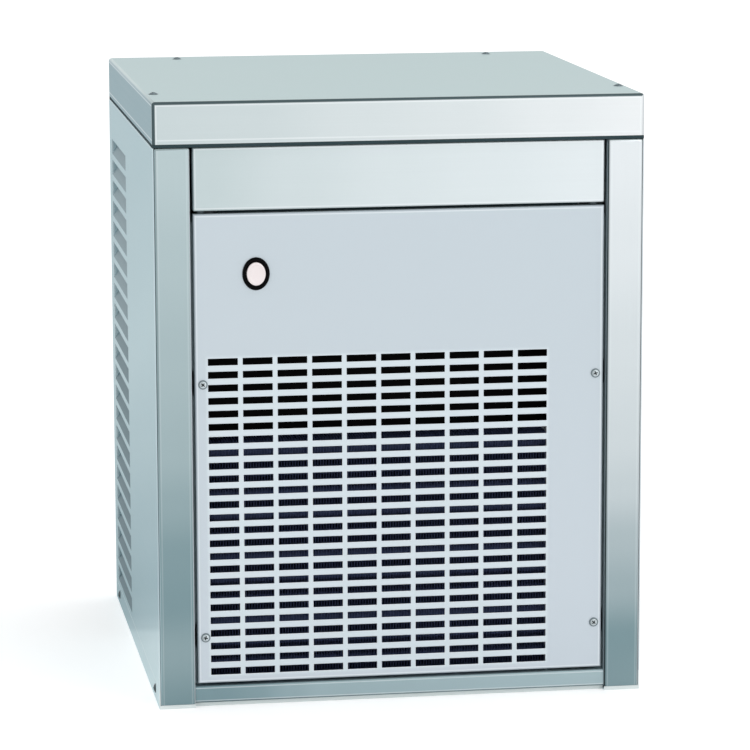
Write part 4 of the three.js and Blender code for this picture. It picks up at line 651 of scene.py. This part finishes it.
def give_wall(bm):
    """Gives an open sheet its thickness, on the side its faces point away from."""
    bmesh.ops.solidify(bm, geom=bm.faces[:], thickness=sizes().sheet)


def folded_box(low, high, open_side, fold, segments):
    """A box of sheet, without the sides whose normal passes a test, its edges folded."""
    bm = bmesh.new()
    add_box(bm, low, high)
    drop_facing(bm, open_side)
    round_off(bm, folded_edges(bm), fold, segments)
    give_wall(bm)
    return bm


def paint(bm, test, slot=1):
    """Gives the faces whose middle passes the test another of the piece's materials."""
    for face in bm.faces:
        if test(face.calc_center_median()):
            face.material_index = slot


def is_flat(face):
    return max(abs(share) for share in face.normal) > 0.9999


def add_object(name, data):
    added = bpy.data.objects.new(name, data)
    bpy.context.scene.collection.objects.link(added)
    return added


def add_mesh(name, bm, materials):
    """Turns a bmesh into an object with materials."""
    mesh = bpy.data.meshes.new(name)
    bm.to_mesh(mesh)
    bm.free()
    for material in materials:
        mesh.materials.append(material)
    return add_object(name, mesh)


def make_piece(name, bm, finishes, replaces, body="cabinet", sharp=38):
    """Turns a bmesh into a finished object that rides on a body."""
    bm.normal_update()
    limit = math.radians(sharp)
    for face in bm.faces:
        face.smooth = True
    for edge in bm.edges:
        pair = edge.link_faces
        edge.smooth = len(pair) == 2 and edge.calc_face_angle(0) < limit and is_flat(pair[0]) == is_flat(pair[1])
    piece = add_mesh(name, bm, [FINISHES[finish] for finish in finishes])
    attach(piece, body)
    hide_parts(*replaces)


def sheet_grid(bm, axes, us, vs, at):
    """A flat grid with its lines at the places us and vs along two axes, and at one place on the third."""
    verts = bmesh.ops.create_grid(bm, x_segments=len(us) - 1, y_segments=len(vs) - 1, size=1)["verts"]
    lines = [sorted({round(vert.co[axis], 5) for vert in verts}) for axis in (0, 1)]
    for vert in verts:
        u, v = (places[values.index(round(vert.co[axis], 5))]
                for axis, (places, values) in enumerate(zip((us, vs), lines)))
        for axis, value in zip(axes, (u, v, at)):
            vert.co[axis] = value


def aim(place, axis):
    """The matrix that takes the Z axis to an axis through a place."""
    return Matrix.Translation(place) @ Vector((0, 0, 1)).rotation_difference(Vector(axis)).to_matrix().to_4x4()


def turned(bm, profile, place, axis=(0, 1, 0), segments=48, stretch=(1, 1, 1)):
    """Turns a profile of (radius, height) round an axis that starts at a place."""
    before = set(bm.verts)
    verts = [bmesh.ops.create_vert(bm, co=(radius, 0, height))["vert"][0] for radius, height in profile]
    edges = [bm.edges.new(pair) for pair in zip(verts, verts[1:])]
    bmesh.ops.spin(bm, geom=verts + edges, cent=(0, 0, 0), axis=(0, 0, 1), dvec=(0, 0, 0), angle=math.tau,
                   steps=segments, use_merge=True)
    bmesh.ops.remove_doubles(bm, verts=[vert for vert in bm.verts if vert not in before], dist=1e-6)
    made = [vert for vert in bm.verts if vert not in before]
    bmesh.ops.transform(bm, matrix=aim(place, axis) @ Matrix.Diagonal((*stretch, 1)), verts=made)
    bmesh.ops.recalc_face_normals(bm, faces=faces_at(made))


def tube_run(bm, start, radius, *moves):
    """A closed tube from a point. Each move is a vector, or (centre, axis, angle) for a bend."""
    before = set(bm.verts)
    verts = bmesh.ops.create_circle(bm, cap_ends=True, radius=radius, segments=14,
                                    matrix=aim(start, moves[0]))["verts"]
    faces = [face for face in bm.faces if face.verts[0] in verts]
    for move in moves:
        if isinstance(move, Vector):
            made = bmesh.ops.extrude_face_region(bm, geom=faces)["geom"]
            bmesh.ops.translate(bm, vec=move, verts=of_type(made))
        else:
            centre, axis, angle = move
            made = bmesh.ops.spin(bm, geom=faces, cent=centre, axis=axis, dvec=(0, 0, 0), angle=angle,
                                  steps=8)["geom_last"]
        faces = of_type(made, bmesh.types.BMFace)
    bmesh.ops.recalc_face_normals(bm, faces=faces_at([vert for vert in bm.verts if vert not in before]))


# ---- Casing ----

def build_lid():
    bm = folded_box(*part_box("top_lid"), lambda normal: normal.z < -0.5, sizes().lid_fold, 4)
    bm.normal_update()
    # Painted light and shade: the top, left and right faces take lit or shaded copies of the lid steel
    for face in bm.faces:
        if is_flat(face) and abs(face.normal.y) < 0.5:
            face.material_index = 1 if abs(face.normal.z) > 0.5 else (2 if face.normal.x < 0 else 3)
    make_piece("lid_sheet", bm, ["lid", "lid top", "lid left", "lid right"], ["top_lid"])


def build_posts():
    size = sizes()
    tab_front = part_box("front_panel")[1].y + size.gap
    tab_back = tab_front + size.tab_thickness
    rail_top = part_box("bottom_rail")[1].z + size.gap
    for side, label, screws in ((-1, "left", (1, 2)), (1, "right", (3, 4))):
        low, high, inner = post_span(side)
        bm = folded_box(low, high, lambda normal: normal.y > 0.5 or normal.z < -0.5, size.post_fold, 4)
        near = inner + size.sheet
        side_box(bm, side, near, inner - size.stop_lip, (tab_front, rail_top), (tab_front + size.sheet, high.z))
        levels = [(high.z - size.top_tab_height, high.z)]
        for number in screws:
            middle = half_span(f"panel_screw_{number}")[0].z
            levels.append((middle - size.tab_height / 2, middle + size.tab_height / 2))
        for bottom, top in levels:
            side_box(bm, side, near, inner - size.tab_reach, (tab_front, bottom), (tab_back, top))
        # Painted shade on the post's inner return and tabs
        paint(bm, lambda at: abs(at.x) < inner + 1.1 * size.sheet and at.y > low.y + size.post_fold)
        make_piece(f"{label}_post_sheet", bm, [f"{label} post", "joint"], [f"{label}_front_post"])


def build_strips():
    size = sizes()
    for node, label in (("upper_fascia", "fascia"), ("bottom_rail", "rail")):
        low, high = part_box(node)
        open_ended = node == "bottom_rail"
        bm = folded_box(low, high, lambda normal: normal.y > 0.5 or (open_ended and abs(normal.x) > 0.5),
                        size.face_fold, 3)
        if not open_ended:
            stop = high.y + size.gap
            for front, bottom in ((high.y - size.sheet, low.z), (stop, low.z - size.stop_lip)):
                add_box(bm, (low.x + size.tab_height, front, bottom),
                        (high.x - size.tab_height, stop + size.sheet, low.z + size.sheet))
            # Painted shade on the fascia's returns and stop lips behind its front face
            paint(bm, lambda at: at.y > low.y + size.face_fold)
            # Painted shade: the stop lips and lower return behind the fascia's gap take the dark seal finish
            paint(bm, lambda at: at.y > low.y + size.face_fold and at.z < low.z + 1.1 * size.sheet, 2)
        make_piece(f"{label}_sheet", bm, [label, "joint", "seal"], [node])


def build_front_panel():
    """Punches the slots and the button's hole, with its collar, into a sheet and folds its edges back."""
    size = sizes()
    low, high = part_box("front_panel")
    columns, rows = slot_edges()
    hole_x, _, hole_z = ((a + size.face_fold, b - size.face_fold) for a, b in zip(*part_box("button_bezel")))
    bm = bmesh.new()
    sheet_grid(bm, (0, 2, 1), sorted(sum(columns, (low.x, high.x, *hole_x))),
               sorted(sum(rows, (low.z, high.z, *hole_z))), low.y)
    middles = {face: face.calc_center_median() for face in bm.faces}
    hole, slots = ([face for face, at in middles.items() if between(at.x, xs) and between(at.z, zs)]
                   for xs, zs in (([hole_x], [hole_z]), (columns, rows)))
    rim = [edge for edge in {edge for face in hole for edge in face.edges}
           if sum(face in hole for face in edge.link_faces) == 1]
    corners = {vert for face in slots for vert in face.verts}
    drop_faces(bm, slots + hole)
    outer = [edge for edge in bm.edges if edge.is_boundary
             and any(on_line(edge, axis, end[axis]) for axis in (0, 2) for end in (low, high))]
    bmesh.ops.subdivide_edges(bm, edges=rim, cuts=7)
    wide_x, wide_z = ((a - 0.1 * MM, b + 0.1 * MM) for a, b in (hole_x, hole_z))

    def at_hole(edge):
        return all(between(vert.co.x, [wide_x]) and between(vert.co.z, [wide_z]) for vert in edge.verts)

    rim = [edge for edge in bm.edges if edge.is_boundary and at_hole(edge)]
    middle, half = half_span("button_lens")
    for vert in of_type(bmesh.ops.extrude_edge_only(bm, edges=rim)["geom"]):
        off = vert.co - middle
        reach = math.hypot(off.x / (half.x + COLLAR), off.z / (half.z + COLLAR))
        vert.co.x = middle.x + off.x / reach
        vert.co.z = middle.z + off.z / reach
    draw_out(bm, outer, (0, high.y - low.y, 0))
    round_off(bm, [vert for vert in corners if vert.is_valid], size.slot_corner, 2, "VERTICES")
    bmesh.ops.recalc_face_normals(bm, faces=bm.faces[:])
    face_out(bm, Vector((0, -1, 0)))
    round_off(bm, [edge for edge in folded_edges(bm) if on_line(edge, 1, low.y)], size.face_fold)
    give_wall(bm)
    bm.normal_update()
    lips = [edge for edge in folded_edges(bm, 70) if on_line(edge, 1, low.y) and not at_hole(edge)]
    # Painted highlight: the slots' bevelled lips take the light slot rim finish
    for face in round_off(bm, lips, size.lip, 1):
        face.material_index = 2
    # Painted shade on the panel's folded-back edges
    paint(bm, lambda at: at.y > low.y + size.face_fold)
    make_piece("grille_panel", bm, ["panel", "joint", "slot rim highlight"], ["front_panel"])


def build_side_panels():
    """Presses the louvres into a sheet, folds it over at the top and adds its rear flange and its lid tab."""
    size = sizes()
    _, post_rear, post_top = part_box("left_front_post")[1]
    tab_front = half_span("lid_screw_1")[0].y - size.lid_tab / 2
    tab_rear = tab_front + size.lid_tab
    tab_end = 4.2 * MM  # from the side's outer face
    for side, label in ((-1, "left"), (1, "right")):
        low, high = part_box(f"{label}_side_panel")
        rear = high.y - size.louvre_margin
        front = rear - size.louvre_length
        outer = max(abs(low.x), abs(high.x))
        inner = outer - size.sheet - size.top_flange
        return_rear = high.y - size.sheet - size.gap
        flange = (post_rear + size.gap, return_rear - size.top_flange)
        bottoms = [low.z + size.louvre_rise + number * size.louvre_pitch - size.louvre_height / 2
                   for number in range(size.louvres)]
        louvres = [(bottom, bottom + size.louvre_height) for bottom in bottoms]
        bm = bmesh.new()
        sheet_grid(bm, (1, 2, 0), [low.y, flange[0], front, rear, flange[1], high.y],
                   sum(louvres, (low.z,)) + (post_top,), side * outer)
        face_out(bm, Vector((side, 0, 0)))
        cells = [face for face in bm.faces if between(face.calc_center_median().y, [(front, rear)])
                 and between(face.calc_center_median().z, louvres)]
        for face in bmesh.ops.extrude_discrete_faces(bm, faces=cells)["faces"]:
            top = max(vert.co.z for vert in face.verts)
            for vert in face.verts:
                if abs(vert.co.z - top) < NEAR:
                    vert.co.x -= side * size.louvre_depth
        bmesh.ops.remove_doubles(bm, verts=bm.verts[:], dist=1e-6)
        drop_facing(bm, lambda normal: abs(normal.z) > 0.9)
        # Painted shade: the louvres' slanted faces take the darker louvre finish
        for face in bm.faces:
            face.material_index = int(abs(face.normal.z) > 0.1)
        edges = [edge for edge in bm.edges if on_line(edge, 2, post_top)
                 and between(sum(vert.co.y for vert in edge.verts) / 2, [flange])]
        draw_out(bm, edges, (side * (inner - outer), 0, 0))
        bmesh.ops.recalc_face_normals(bm, faces=bm.faces[:])
        face_out(bm, Vector((side, 0, 0)))
        give_wall(bm)
        side_box(bm, side, outer - size.sheet, inner, (return_rear - size.sheet, low.z),
                 (return_rear, post_top - size.sheet - size.gap))
        side_box(bm, side, inner, inner + size.sheet, (tab_front, post_top - size.sheet), (tab_rear, high.z))
        side_box(bm, side, inner, outer - tab_end, (tab_front, high.z - size.sheet), (tab_rear, high.z))
        make_piece(f"{label}_side_sheet", bm, [f"{label} side", f"{label} louvre"],
                   [f"{label}_side_panel"])


# ---- Screws, button and rear fittings ----

def screw_head(bm, radius, reach):
    """A flanged dome with a cross recess, its seat at zero and its crown towards +Z, on its shank."""
    size = sizes()
    height = size.head_height
    dome = radius * 0.73
    arm, tip, edge = dome * 0.16, dome * 0.62, dome * 0.7
    lines = [-edge, -tip, -arm, arm, tip, edge]
    sheet_grid(bm, (0, 1, 2), lines, lines, height)
    cross = []
    for face in bm.faces:
        near, far = sorted(map(abs, face.calc_center_median().xy))
        if near < arm and far < tip:
            cross.append(face)
    border = [each for each in bm.edges if each.is_boundary]
    loop = edges_at(bmesh.ops.create_circle(bm, cap_ends=False, radius=dome, segments=20)["verts"])
    bmesh.ops.bridge_loops(bm, edges=border + loop)
    for vert in bm.verts:
        vert.co.z = height * (1 - 0.5 * vert.co.xy.length_squared / dome ** 2)
    sunk = of_type(bmesh.ops.extrude_face_region(bm, geom=cross)["geom"])
    bmesh.ops.translate(bm, vec=(0, 0, -size.recess), verts=sunk)
    bmesh.ops.delete(bm, geom=cross, context="FACES_ONLY")
    # Painted shade: the cross recess takes a near black finish
    for face in faces_at(sunk):
        face.material_index = 1
    step = 1.03  # the dome rises from a small step in the flange
    for scale, level in ((step, 0.2), (radius / dome / step, 0.2), (1, 0)):
        made = bmesh.ops.extrude_edge_only(bm, edges=loop)["geom"]
        verts = of_type(made)
        bmesh.ops.scale(bm, vec=(scale, scale, 1), verts=verts)
        for vert in verts:
            vert.co.z = height * level
        # The flange step takes the rim finish: painted shade on the panel screws
        for face in of_type(made, bmesh.types.BMFace):
            face.material_index = 2
        loop = [each for each in edges_at(verts) if each.is_boundary]
    bmesh.ops.contextual_create(bm, geom=loop)
    turned(bm, [(0, 0), (size.shank, -0.01 * MM), (size.shank, 1.5 * MM - reach), (size.shank * 0.4, -reach),
                (0, -reach)], (0, 0, 0), (0, 0, 1), 12)


def build_screws():
    height = sizes().head_height
    # Panel screws: painted highlight on the dome and painted shade on the flange step, two tones of one steel
    for kind, axis, dome, rim, slot in (("panel", (0, -1, 0), "screw dome", "screw", "screw_steel"),
                                        ("lid", (0, 0, 1), "screw", "screw", "screw_steel"),
                                        ("base", (1, 0, 0), "dark screw", "dark screw", "dark_screw")):
        for number in range(1, 5):
            node = f"{kind}_screw_{number}"
            middle, half = half_span(node)
            out = Vector(axis)
            if kind == "base" and middle.x < 0:
                out.negate()
            half_length = abs(half.dot(out))
            radius = min(half[i] for i in range(3) if not out[i]) * 0.995  # just inside the solid
            bm = bmesh.new()
            screw_head(bm, radius, 2 * half_length - height)
            spin = Matrix.Rotation(math.radians(17 + 31 * number), 4, "Z")  # as far as each was driven
            matrix = aim(middle + out * (half_length - height), out) @ spin
            bmesh.ops.transform(bm, matrix=matrix, verts=bm.verts[:])
            bmesh.ops.recalc_face_normals(bm, faces=bm.faces[:])
            make_piece(f"{kind}_cross_screw_{number}", bm, [dome, "recess", rim], [node])


def build_button():
    """Turns the bezel and the lens from profiles of (share of the half width, depth in millimetres)."""
    middle, half = half_span("button_bezel")
    lens_middle, lens_half = half_span("button_lens")
    bore = (lens_half.x + 0.3 * MM) / half.x
    lens_half *= 0.999  # just inside the solid
    barrel = bore + 2 * MM / half.x
    ring = [(bore, 19.9), (bore, 1.4), (bore + 0.03, 0.5), (bore + 0.09, 0.1), (bore + 0.16, 0), (0.9, 0.5),
            (0.97, 1.2), (1, 2), (1, 2.6), (barrel, 2.6), (barrel, 19.9), (bore, 19.9)]
    cap = [(0, 1.2), (0.3, 1.05), (0.6, 0.7), (0.76, 0.35), (0.8, 0), (0.9, 0), (0.97, 0.3), (1, 1), (1, 11),
           (0.3, 11), (0.3, 27), (0, 27)]
    for name, profile, at, wide, slot, finish, node, body, sharp in (
            ("button_ring", ring, middle, half, "black_plastic", "black plastic", "button_bezel", "cabinet", 50),
            ("button_cap", cap, lens_middle, lens_half, "lens", "lens", "button_lens", "button", 30)):
        bm = bmesh.new()
        turned(bm, [(radius, depth * MM) for radius, depth in profile], (at.x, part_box(node)[0].y, at.z),
               stretch=(wide.x, wide.z, 1))
        make_piece(name, bm, [finish], [node], body, sharp)


def build_rear_fittings():
    """Turns the fittings round Y, with their flanges against the rear face."""
    size = sizes()
    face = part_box("top_lid")[1].y + size.gap

    def span(node):
        middle, half = half_span(node)
        return Vector((middle.x, 0, middle.z)), half.x, middle.y - half.y, middle.y + half.y

    def turned_fitting(profile):
        bm = bmesh.new()
        turned(bm, profile, middle, segments=36)
        return bm

    middle, radius, start, end = span("water_inlet_fitting")
    pipe, nut = 12.7 * MM, 5 * MM
    profile = [(pipe / 2, face), (pipe / 2, end), (pipe - 1.4 * MM, end)]
    for ridge in range(int((end - face - nut - MM) / size.thread_pitch)):
        top = end - 0.6 * MM - ridge * size.thread_pitch
        profile += [(pipe, top), (pipe - MM, top - size.thread_pitch / 2)]
    profile += [(pipe - MM, face + nut - MM), (pipe, face - MM), (pipe, start), (0, start), (0, face),
                (pipe / 2, face)]
    bm = turned_fitting(profile)
    turn = Matrix.Rotation(math.pi / 2, 4, "X") @ Matrix.Rotation(math.pi / 2, 4, "Z")
    verts = bmesh.ops.create_cone(bm, cap_ends=True, segments=6, radius1=radius, radius2=radius, depth=nut,
                                  matrix=Matrix.Translation((middle.x, face + nut / 2, middle.z)) @ turn)["verts"]
    round_off(bm, edges_at(verts), 0.6 * MM, 2)
    make_piece("inlet_thread", bm, ["brass"], ["water_inlet_fitting"])

    middle, radius, start, end = span("drain_spigot")
    spigot, bore = 9 * MM, 7 * MM
    profile = [(bore, start), (bore, end), (bore + 0.8 * MM, end)]
    for barb in range(1, 4):
        root = end - barb * size.barb_pitch
        profile += [(spigot, root + MM), (spigot - MM, root + 0.9 * MM)]
    profile += [(spigot - MM, face + 3 * MM), (radius - MM, face + 3 * MM), (radius, face + 2 * MM), (radius, face),
                (spigot, face), (spigot, start), (bore, start)]
    make_piece("drain_barbs", turned_fitting(profile), ["black plastic"], ["drain_spigot"])

    middle, radius, start, end = span("cord_gland")
    bore, thread, grip = 4.5 * MM, 9.5 * MM, radius - MM
    bm = turned_fitting([
        (bore, start), (bore, end), (thread - 2 * MM, end), (thread, end - MM), (radius - 2.4 * MM, end - 2 * MM),
        (grip, end - 5 * MM), (grip, face + 3 * MM), (radius, face + 2.4 * MM), (radius, face), (thread, face),
        (thread, start), (bore, start)])
    for rib in range(12):
        verts = add_box(bm, (-0.9 * MM, face + 3 * MM, grip - 0.6 * MM), (0.9 * MM, end - 5.2 * MM, grip + 0.9 * MM))
        turn = Matrix.Rotation(math.tau * rib / 12, 4, "Y")
        bmesh.ops.transform(bm, matrix=Matrix.Translation(middle) @ turn, verts=verts)
    make_piece("gland_nut", bm, ["black plastic"], ["cord_gland"])


# ---- Works ----

def build_condenser():
    """End plates, fins and tubes of the condenser, and the elbow down to the filter drier."""
    size = sizes()
    low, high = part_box("condenser")
    drier, drier_half = half_span("filter_drier")
    left, right = low.x, slot_edges()[0][-1][1] + size.condenser_margin
    inset, tube_inset = 2.5 * MM, 10 * MM
    bm = bmesh.new()
    for x in (left, right - size.end_plate):
        plate = add_box(bm, (x, low.y, low.z), (x + size.end_plate, high.y, high.z))
        round_off(bm, edges_at(plate), 0.4 * MM, 2)
    paint(bm, lambda at: True)
    clear = right - left - 2 * size.end_plate
    fins = int(clear / size.fin_pitch)
    for number in range(fins):
        x = left + size.end_plate + (number + 0.5) * clear / fins
        add_box(bm, (x - size.fin / 2, low.y + inset, low.z + 2 * inset),
                (x + size.fin / 2, high.y - inset, high.z - inset))
    pitch = (high.z - low.z - 4 * inset) / size.tube_rows
    for row in range(size.tube_rows):
        for y in (low.y + tube_inset, high.y - tube_inset):
            start = Vector((left + 0.2 * MM, y, low.z + 2.5 * inset + (row + 0.5) * pitch))
            tube_run(bm, start, size.tube, Vector((right - left - 0.4 * MM, 0, 0)))
    coated = set(bm.faces)
    top = drier.z + drier_half.z
    level, bend = top + size.elbow_rise, 9 * MM
    start = Vector((right - size.end_plate / 2, drier.y, level))
    tube_run(bm, start, 3 * MM, Vector((drier.x - bend - start.x, 0, 0)),
             (Vector((drier.x - bend, drier.y, level - bend)), (0, 1, 0), math.pi / 2),
             Vector((0, 0, top + size.gap - level + bend)))
    for face in set(bm.faces) - coated:
        face.material_index = 2
    make_piece("condenser_core", bm, ["fins", "zinc", "copper"], ["condenser"])


def build_compressor():
    """The compressor's welded shell on its foot plate, with its terminal cover and pipe stubs."""
    size = sizes()
    low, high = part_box("compressor")
    radius, dome, seam = size.shell_radius, size.shell_dome, 4 * MM
    stub, stub_radius, foot = 11 * MM, 7 * MM, 3 * MM
    foot_depth, cover_width, cover_sunk, cover_bottom, cover_height = (
        part * MM for part in (150, 56, 12, 71.7, 60))
    x, y = (low.x + high.x) / 2, low.y + radius + stub
    bottom, top = low.z + foot / 2, high.z - 2 * stub
    rim = bottom + (top - bottom) * 0.56
    waist = radius - seam
    arc = [(dome * math.sin(angle), dome * (1 - math.cos(angle))) for angle in map(math.radians, range(0, 91, 15))]
    profile = [(0, bottom), *((waist - dome + out, bottom + rise) for out, rise in arc), (waist, rim - seam),
               (radius - MM, rim - seam), (radius, rim - seam + MM), (radius, rim - MM), (radius - MM, rim),
               (waist, rim + 0.3 * MM), *((waist - dome + out, top - rise) for out, rise in arc[::-1]), (0, top)]
    bm = bmesh.new()
    turned(bm, profile, (x, y, 0), (0, 0, 1), 64)
    plate = add_box(bm, (low.x, y - foot_depth / 2, low.z), (high.x, y + foot_depth / 2, low.z + foot))
    upright = [edge for edge in edges_at(plate) if abs(edge.verts[0].co.z - edge.verts[1].co.z) > foot / 2]
    round_off(bm, upright, 16 * MM, 5)
    cover = add_box(bm, (x - cover_width / 2, y + radius - cover_sunk, low.z + cover_bottom),
                    (x + cover_width / 2, high.y, low.z + cover_bottom + cover_height))
    round_off(bm, edges_at(cover), 3 * MM)
    tube_run(bm, Vector((x, y + 52 * MM, top - dome)), stub_radius, Vector((0, 0, dome + 2 * stub)))
    tube_run(bm, Vector((x, y - radius / 2, top - 2 * dome)), stub_radius, Vector((0, -radius / 2 - stub, 0)))
    make_piece("compressor_shell", bm, ["enamel"], ["compressor"])


# ---- Stage ----

def build_stage():
    scene = bpy.context.scene
    scene.view_settings.view_transform = "Standard"
    material, tree, shader = start_material("Floor")
    seen = add_node(tree, "LightPath").outputs["Is Camera Ray"]
    for label, value in (("Base Color", (0.9, 0.9, 0.9)), ("Roughness", 0.9), ("Emission Color", (1, 1, 1)),
                         ("Emission Strength", maths(tree, "MULTIPLY", seen, 0.3))):
        feed(tree, shader[label], value)
    bm = bmesh.new()
    bmesh.ops.create_grid(bm, x_segments=1, y_segments=1, size=12)
    add_mesh("floor", bm, [material])

    scene.world = bpy.data.worlds.new("Studio")
    scene.world.use_nodes = True
    tree = scene.world.node_tree
    rays = add_node(tree, "LightPath").outputs
    seen = maths(tree, "MAXIMUM", rays["Is Camera Ray"], rays["Is Glossy Ray"])
    seen = maths(tree, "MAXIMUM", seen, rays["Is Transmission Ray"])
    strength = add_node(tree, "MapRange", {"Value": seen, "To Min": 0.92, "To Max": 1.0}).outputs[0]
    background = tree.nodes["Background"].inputs
    feed(tree, background["Strength"], strength)
    feed(tree, background["Color"], (1, 1, 1))

    for name, place, power in (("key", (2.2, -3.4, 2.6), 30), ("fill", (-3.4, -2.2, 1.6), 10)):
        lamp = bpy.data.lights.new(name, "AREA")
        lamp.size = 2.4
        lamp.energy = power
        holder = add_object(name, lamp)
        holder.location = place
        holder.rotation_euler = (Vector(MIDDLE) - Vector(place)).to_track_quat("-Z", "Y").to_euler()

    azimuth, elevation, roll = map(math.radians, CAMERA_ANGLES)
    back = Vector((math.sin(azimuth) * math.cos(elevation), -math.cos(azimuth) * math.cos(elevation),
                   math.sin(elevation)))
    right = Vector((math.cos(azimuth), math.sin(azimuth), 0))
    up = back.cross(right)
    target = Vector(MIDDLE) + right * CAMERA_OFFSET[0] + up * CAMERA_OFFSET[1]
    across = right * math.cos(roll) + up * math.sin(roll)
    upward = up * math.cos(roll) - right * math.sin(roll)
    camera = add_object("camera", bpy.data.cameras.new("camera"))
    camera.data.sensor_width = SENSOR
    camera.data.lens = CAMERA_ZOOM * SENSOR
    turn = Matrix((across, upward, back)).transposed().to_4x4()
    camera.matrix_world = Matrix.Translation(target + back * CAMERA_DISTANCE) @ turn
    scene.camera = camera


# ---- Operators ----

class PieceOperator:
    """Runs the class's build function."""
    bl_options = {"REGISTER", "UNDO"}

    def execute(self, context):
        self.build()
        return {"FINISHED"}


class ICEMAKER_OT_finishes(PieceOperator, bpy.types.Operator):
    """Makes every finish and gives the model's own pieces theirs"""
    bl_idname = "icemaker.finishes"
    bl_label = "Finishes"
    build = staticmethod(finish_solids)


class ICEMAKER_OT_lid(PieceOperator, bpy.types.Operator):
    """Folds the lid"""
    bl_idname = "icemaker.lid"
    bl_label = "Lid"
    build = staticmethod(build_lid)


class ICEMAKER_OT_posts(PieceOperator, bpy.types.Operator):
    """Folds the two front posts, with their screw tabs"""
    bl_idname = "icemaker.posts"
    bl_label = "Front posts"
    build = staticmethod(build_posts)


class ICEMAKER_OT_strips(PieceOperator, bpy.types.Operator):
    """Folds the fascia and the bottom rail"""
    bl_idname = "icemaker.strips"
    bl_label = "Fascia and rail"
    build = staticmethod(build_strips)


class ICEMAKER_OT_front_panel(PieceOperator, bpy.types.Operator):
    """Punches and folds the front panel"""
    bl_idname = "icemaker.front_panel"
    bl_label = "Front panel"
    build = staticmethod(build_front_panel)


class ICEMAKER_OT_side_panels(PieceOperator, bpy.types.Operator):
    """Presses the louvres and folds the side panels"""
    bl_idname = "icemaker.side_panels"
    bl_label = "Side panels"
    build = staticmethod(build_side_panels)


class ICEMAKER_OT_screws(PieceOperator, bpy.types.Operator):
    """Makes the cross-recess screws of the panel, the lid and the base"""
    bl_idname = "icemaker.screws"
    bl_label = "Screws"
    build = staticmethod(build_screws)


class ICEMAKER_OT_button(PieceOperator, bpy.types.Operator):
    """Turns the button's ring and its lens"""
    bl_idname = "icemaker.button"
    bl_label = "Push button"
    build = staticmethod(build_button)


class ICEMAKER_OT_rear_fittings(PieceOperator, bpy.types.Operator):
    """Turns the water inlet, the drain spigot and the cord gland"""
    bl_idname = "icemaker.rear_fittings"
    bl_label = "Rear fittings"
    build = staticmethod(build_rear_fittings)


class ICEMAKER_OT_condenser(PieceOperator, bpy.types.Operator):
    """Makes the condenser's plates, fins, tubes and elbow"""
    bl_idname = "icemaker.condenser"
    bl_label = "Condenser"
    build = staticmethod(build_condenser)


class ICEMAKER_OT_compressor(PieceOperator, bpy.types.Operator):
    """Makes the compressor's shell, foot and cover"""
    bl_idname = "icemaker.compressor"
    bl_label = "Compressor"
    build = staticmethod(build_compressor)


class ICEMAKER_OT_stage(PieceOperator, bpy.types.Operator):
    """Sets the floor, the lamps and the camera"""
    bl_idname = "icemaker.stage"
    bl_label = "Studio"
    build = staticmethod(build_stage)


OPERATORS = [ICEMAKER_OT_finishes, ICEMAKER_OT_lid, ICEMAKER_OT_posts, ICEMAKER_OT_strips, ICEMAKER_OT_front_panel,
             ICEMAKER_OT_side_panels, ICEMAKER_OT_screws, ICEMAKER_OT_button, ICEMAKER_OT_rear_fittings,
             ICEMAKER_OT_condenser, ICEMAKER_OT_compressor, ICEMAKER_OT_stage]


class ICEMAKER_PT_pieces(bpy.types.Panel):
    """Lists the pieces, and the sizes and colours they take"""
    bl_label = "Ice maker"
    bl_idname = "ICEMAKER_PT_pieces"
    bl_space_type = "VIEW_3D"
    bl_region_type = "UI"
    bl_category = "Ice maker"

    def draw(self, context):
        for operator in OPERATORS:
            self.layout.operator(operator.bl_idname)
        for group in (context.scene.ice_maker_sizes, context.scene.ice_maker_colours):
            box = self.layout.box()
            for name in group.bl_rna.properties.keys():
                if name not in ("rna_type", "name"):
                    box.prop(group, name)


CLASSES = [IceMakerSizes, IceMakerColours, *OPERATORS, ICEMAKER_PT_pieces]


def register():
    for each in CLASSES:
        bpy.utils.register_class(each)
    bpy.types.Scene.ice_maker_sizes = bpy.props.PointerProperty(type=IceMakerSizes)
    bpy.types.Scene.ice_maker_colours = bpy.props.PointerProperty(type=IceMakerColours)


def unregister():
    del bpy.types.Scene.ice_maker_colours
    del bpy.types.Scene.ice_maker_sizes
    for each in reversed(CLASSES):
        bpy.utils.unregister_class(each)


def main():
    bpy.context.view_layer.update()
    register()
    for operator in OPERATORS:
        getattr(bpy.ops.icemaker, operator.bl_idname.split(".")[1])()


if __name__ == "__main__":
    main()
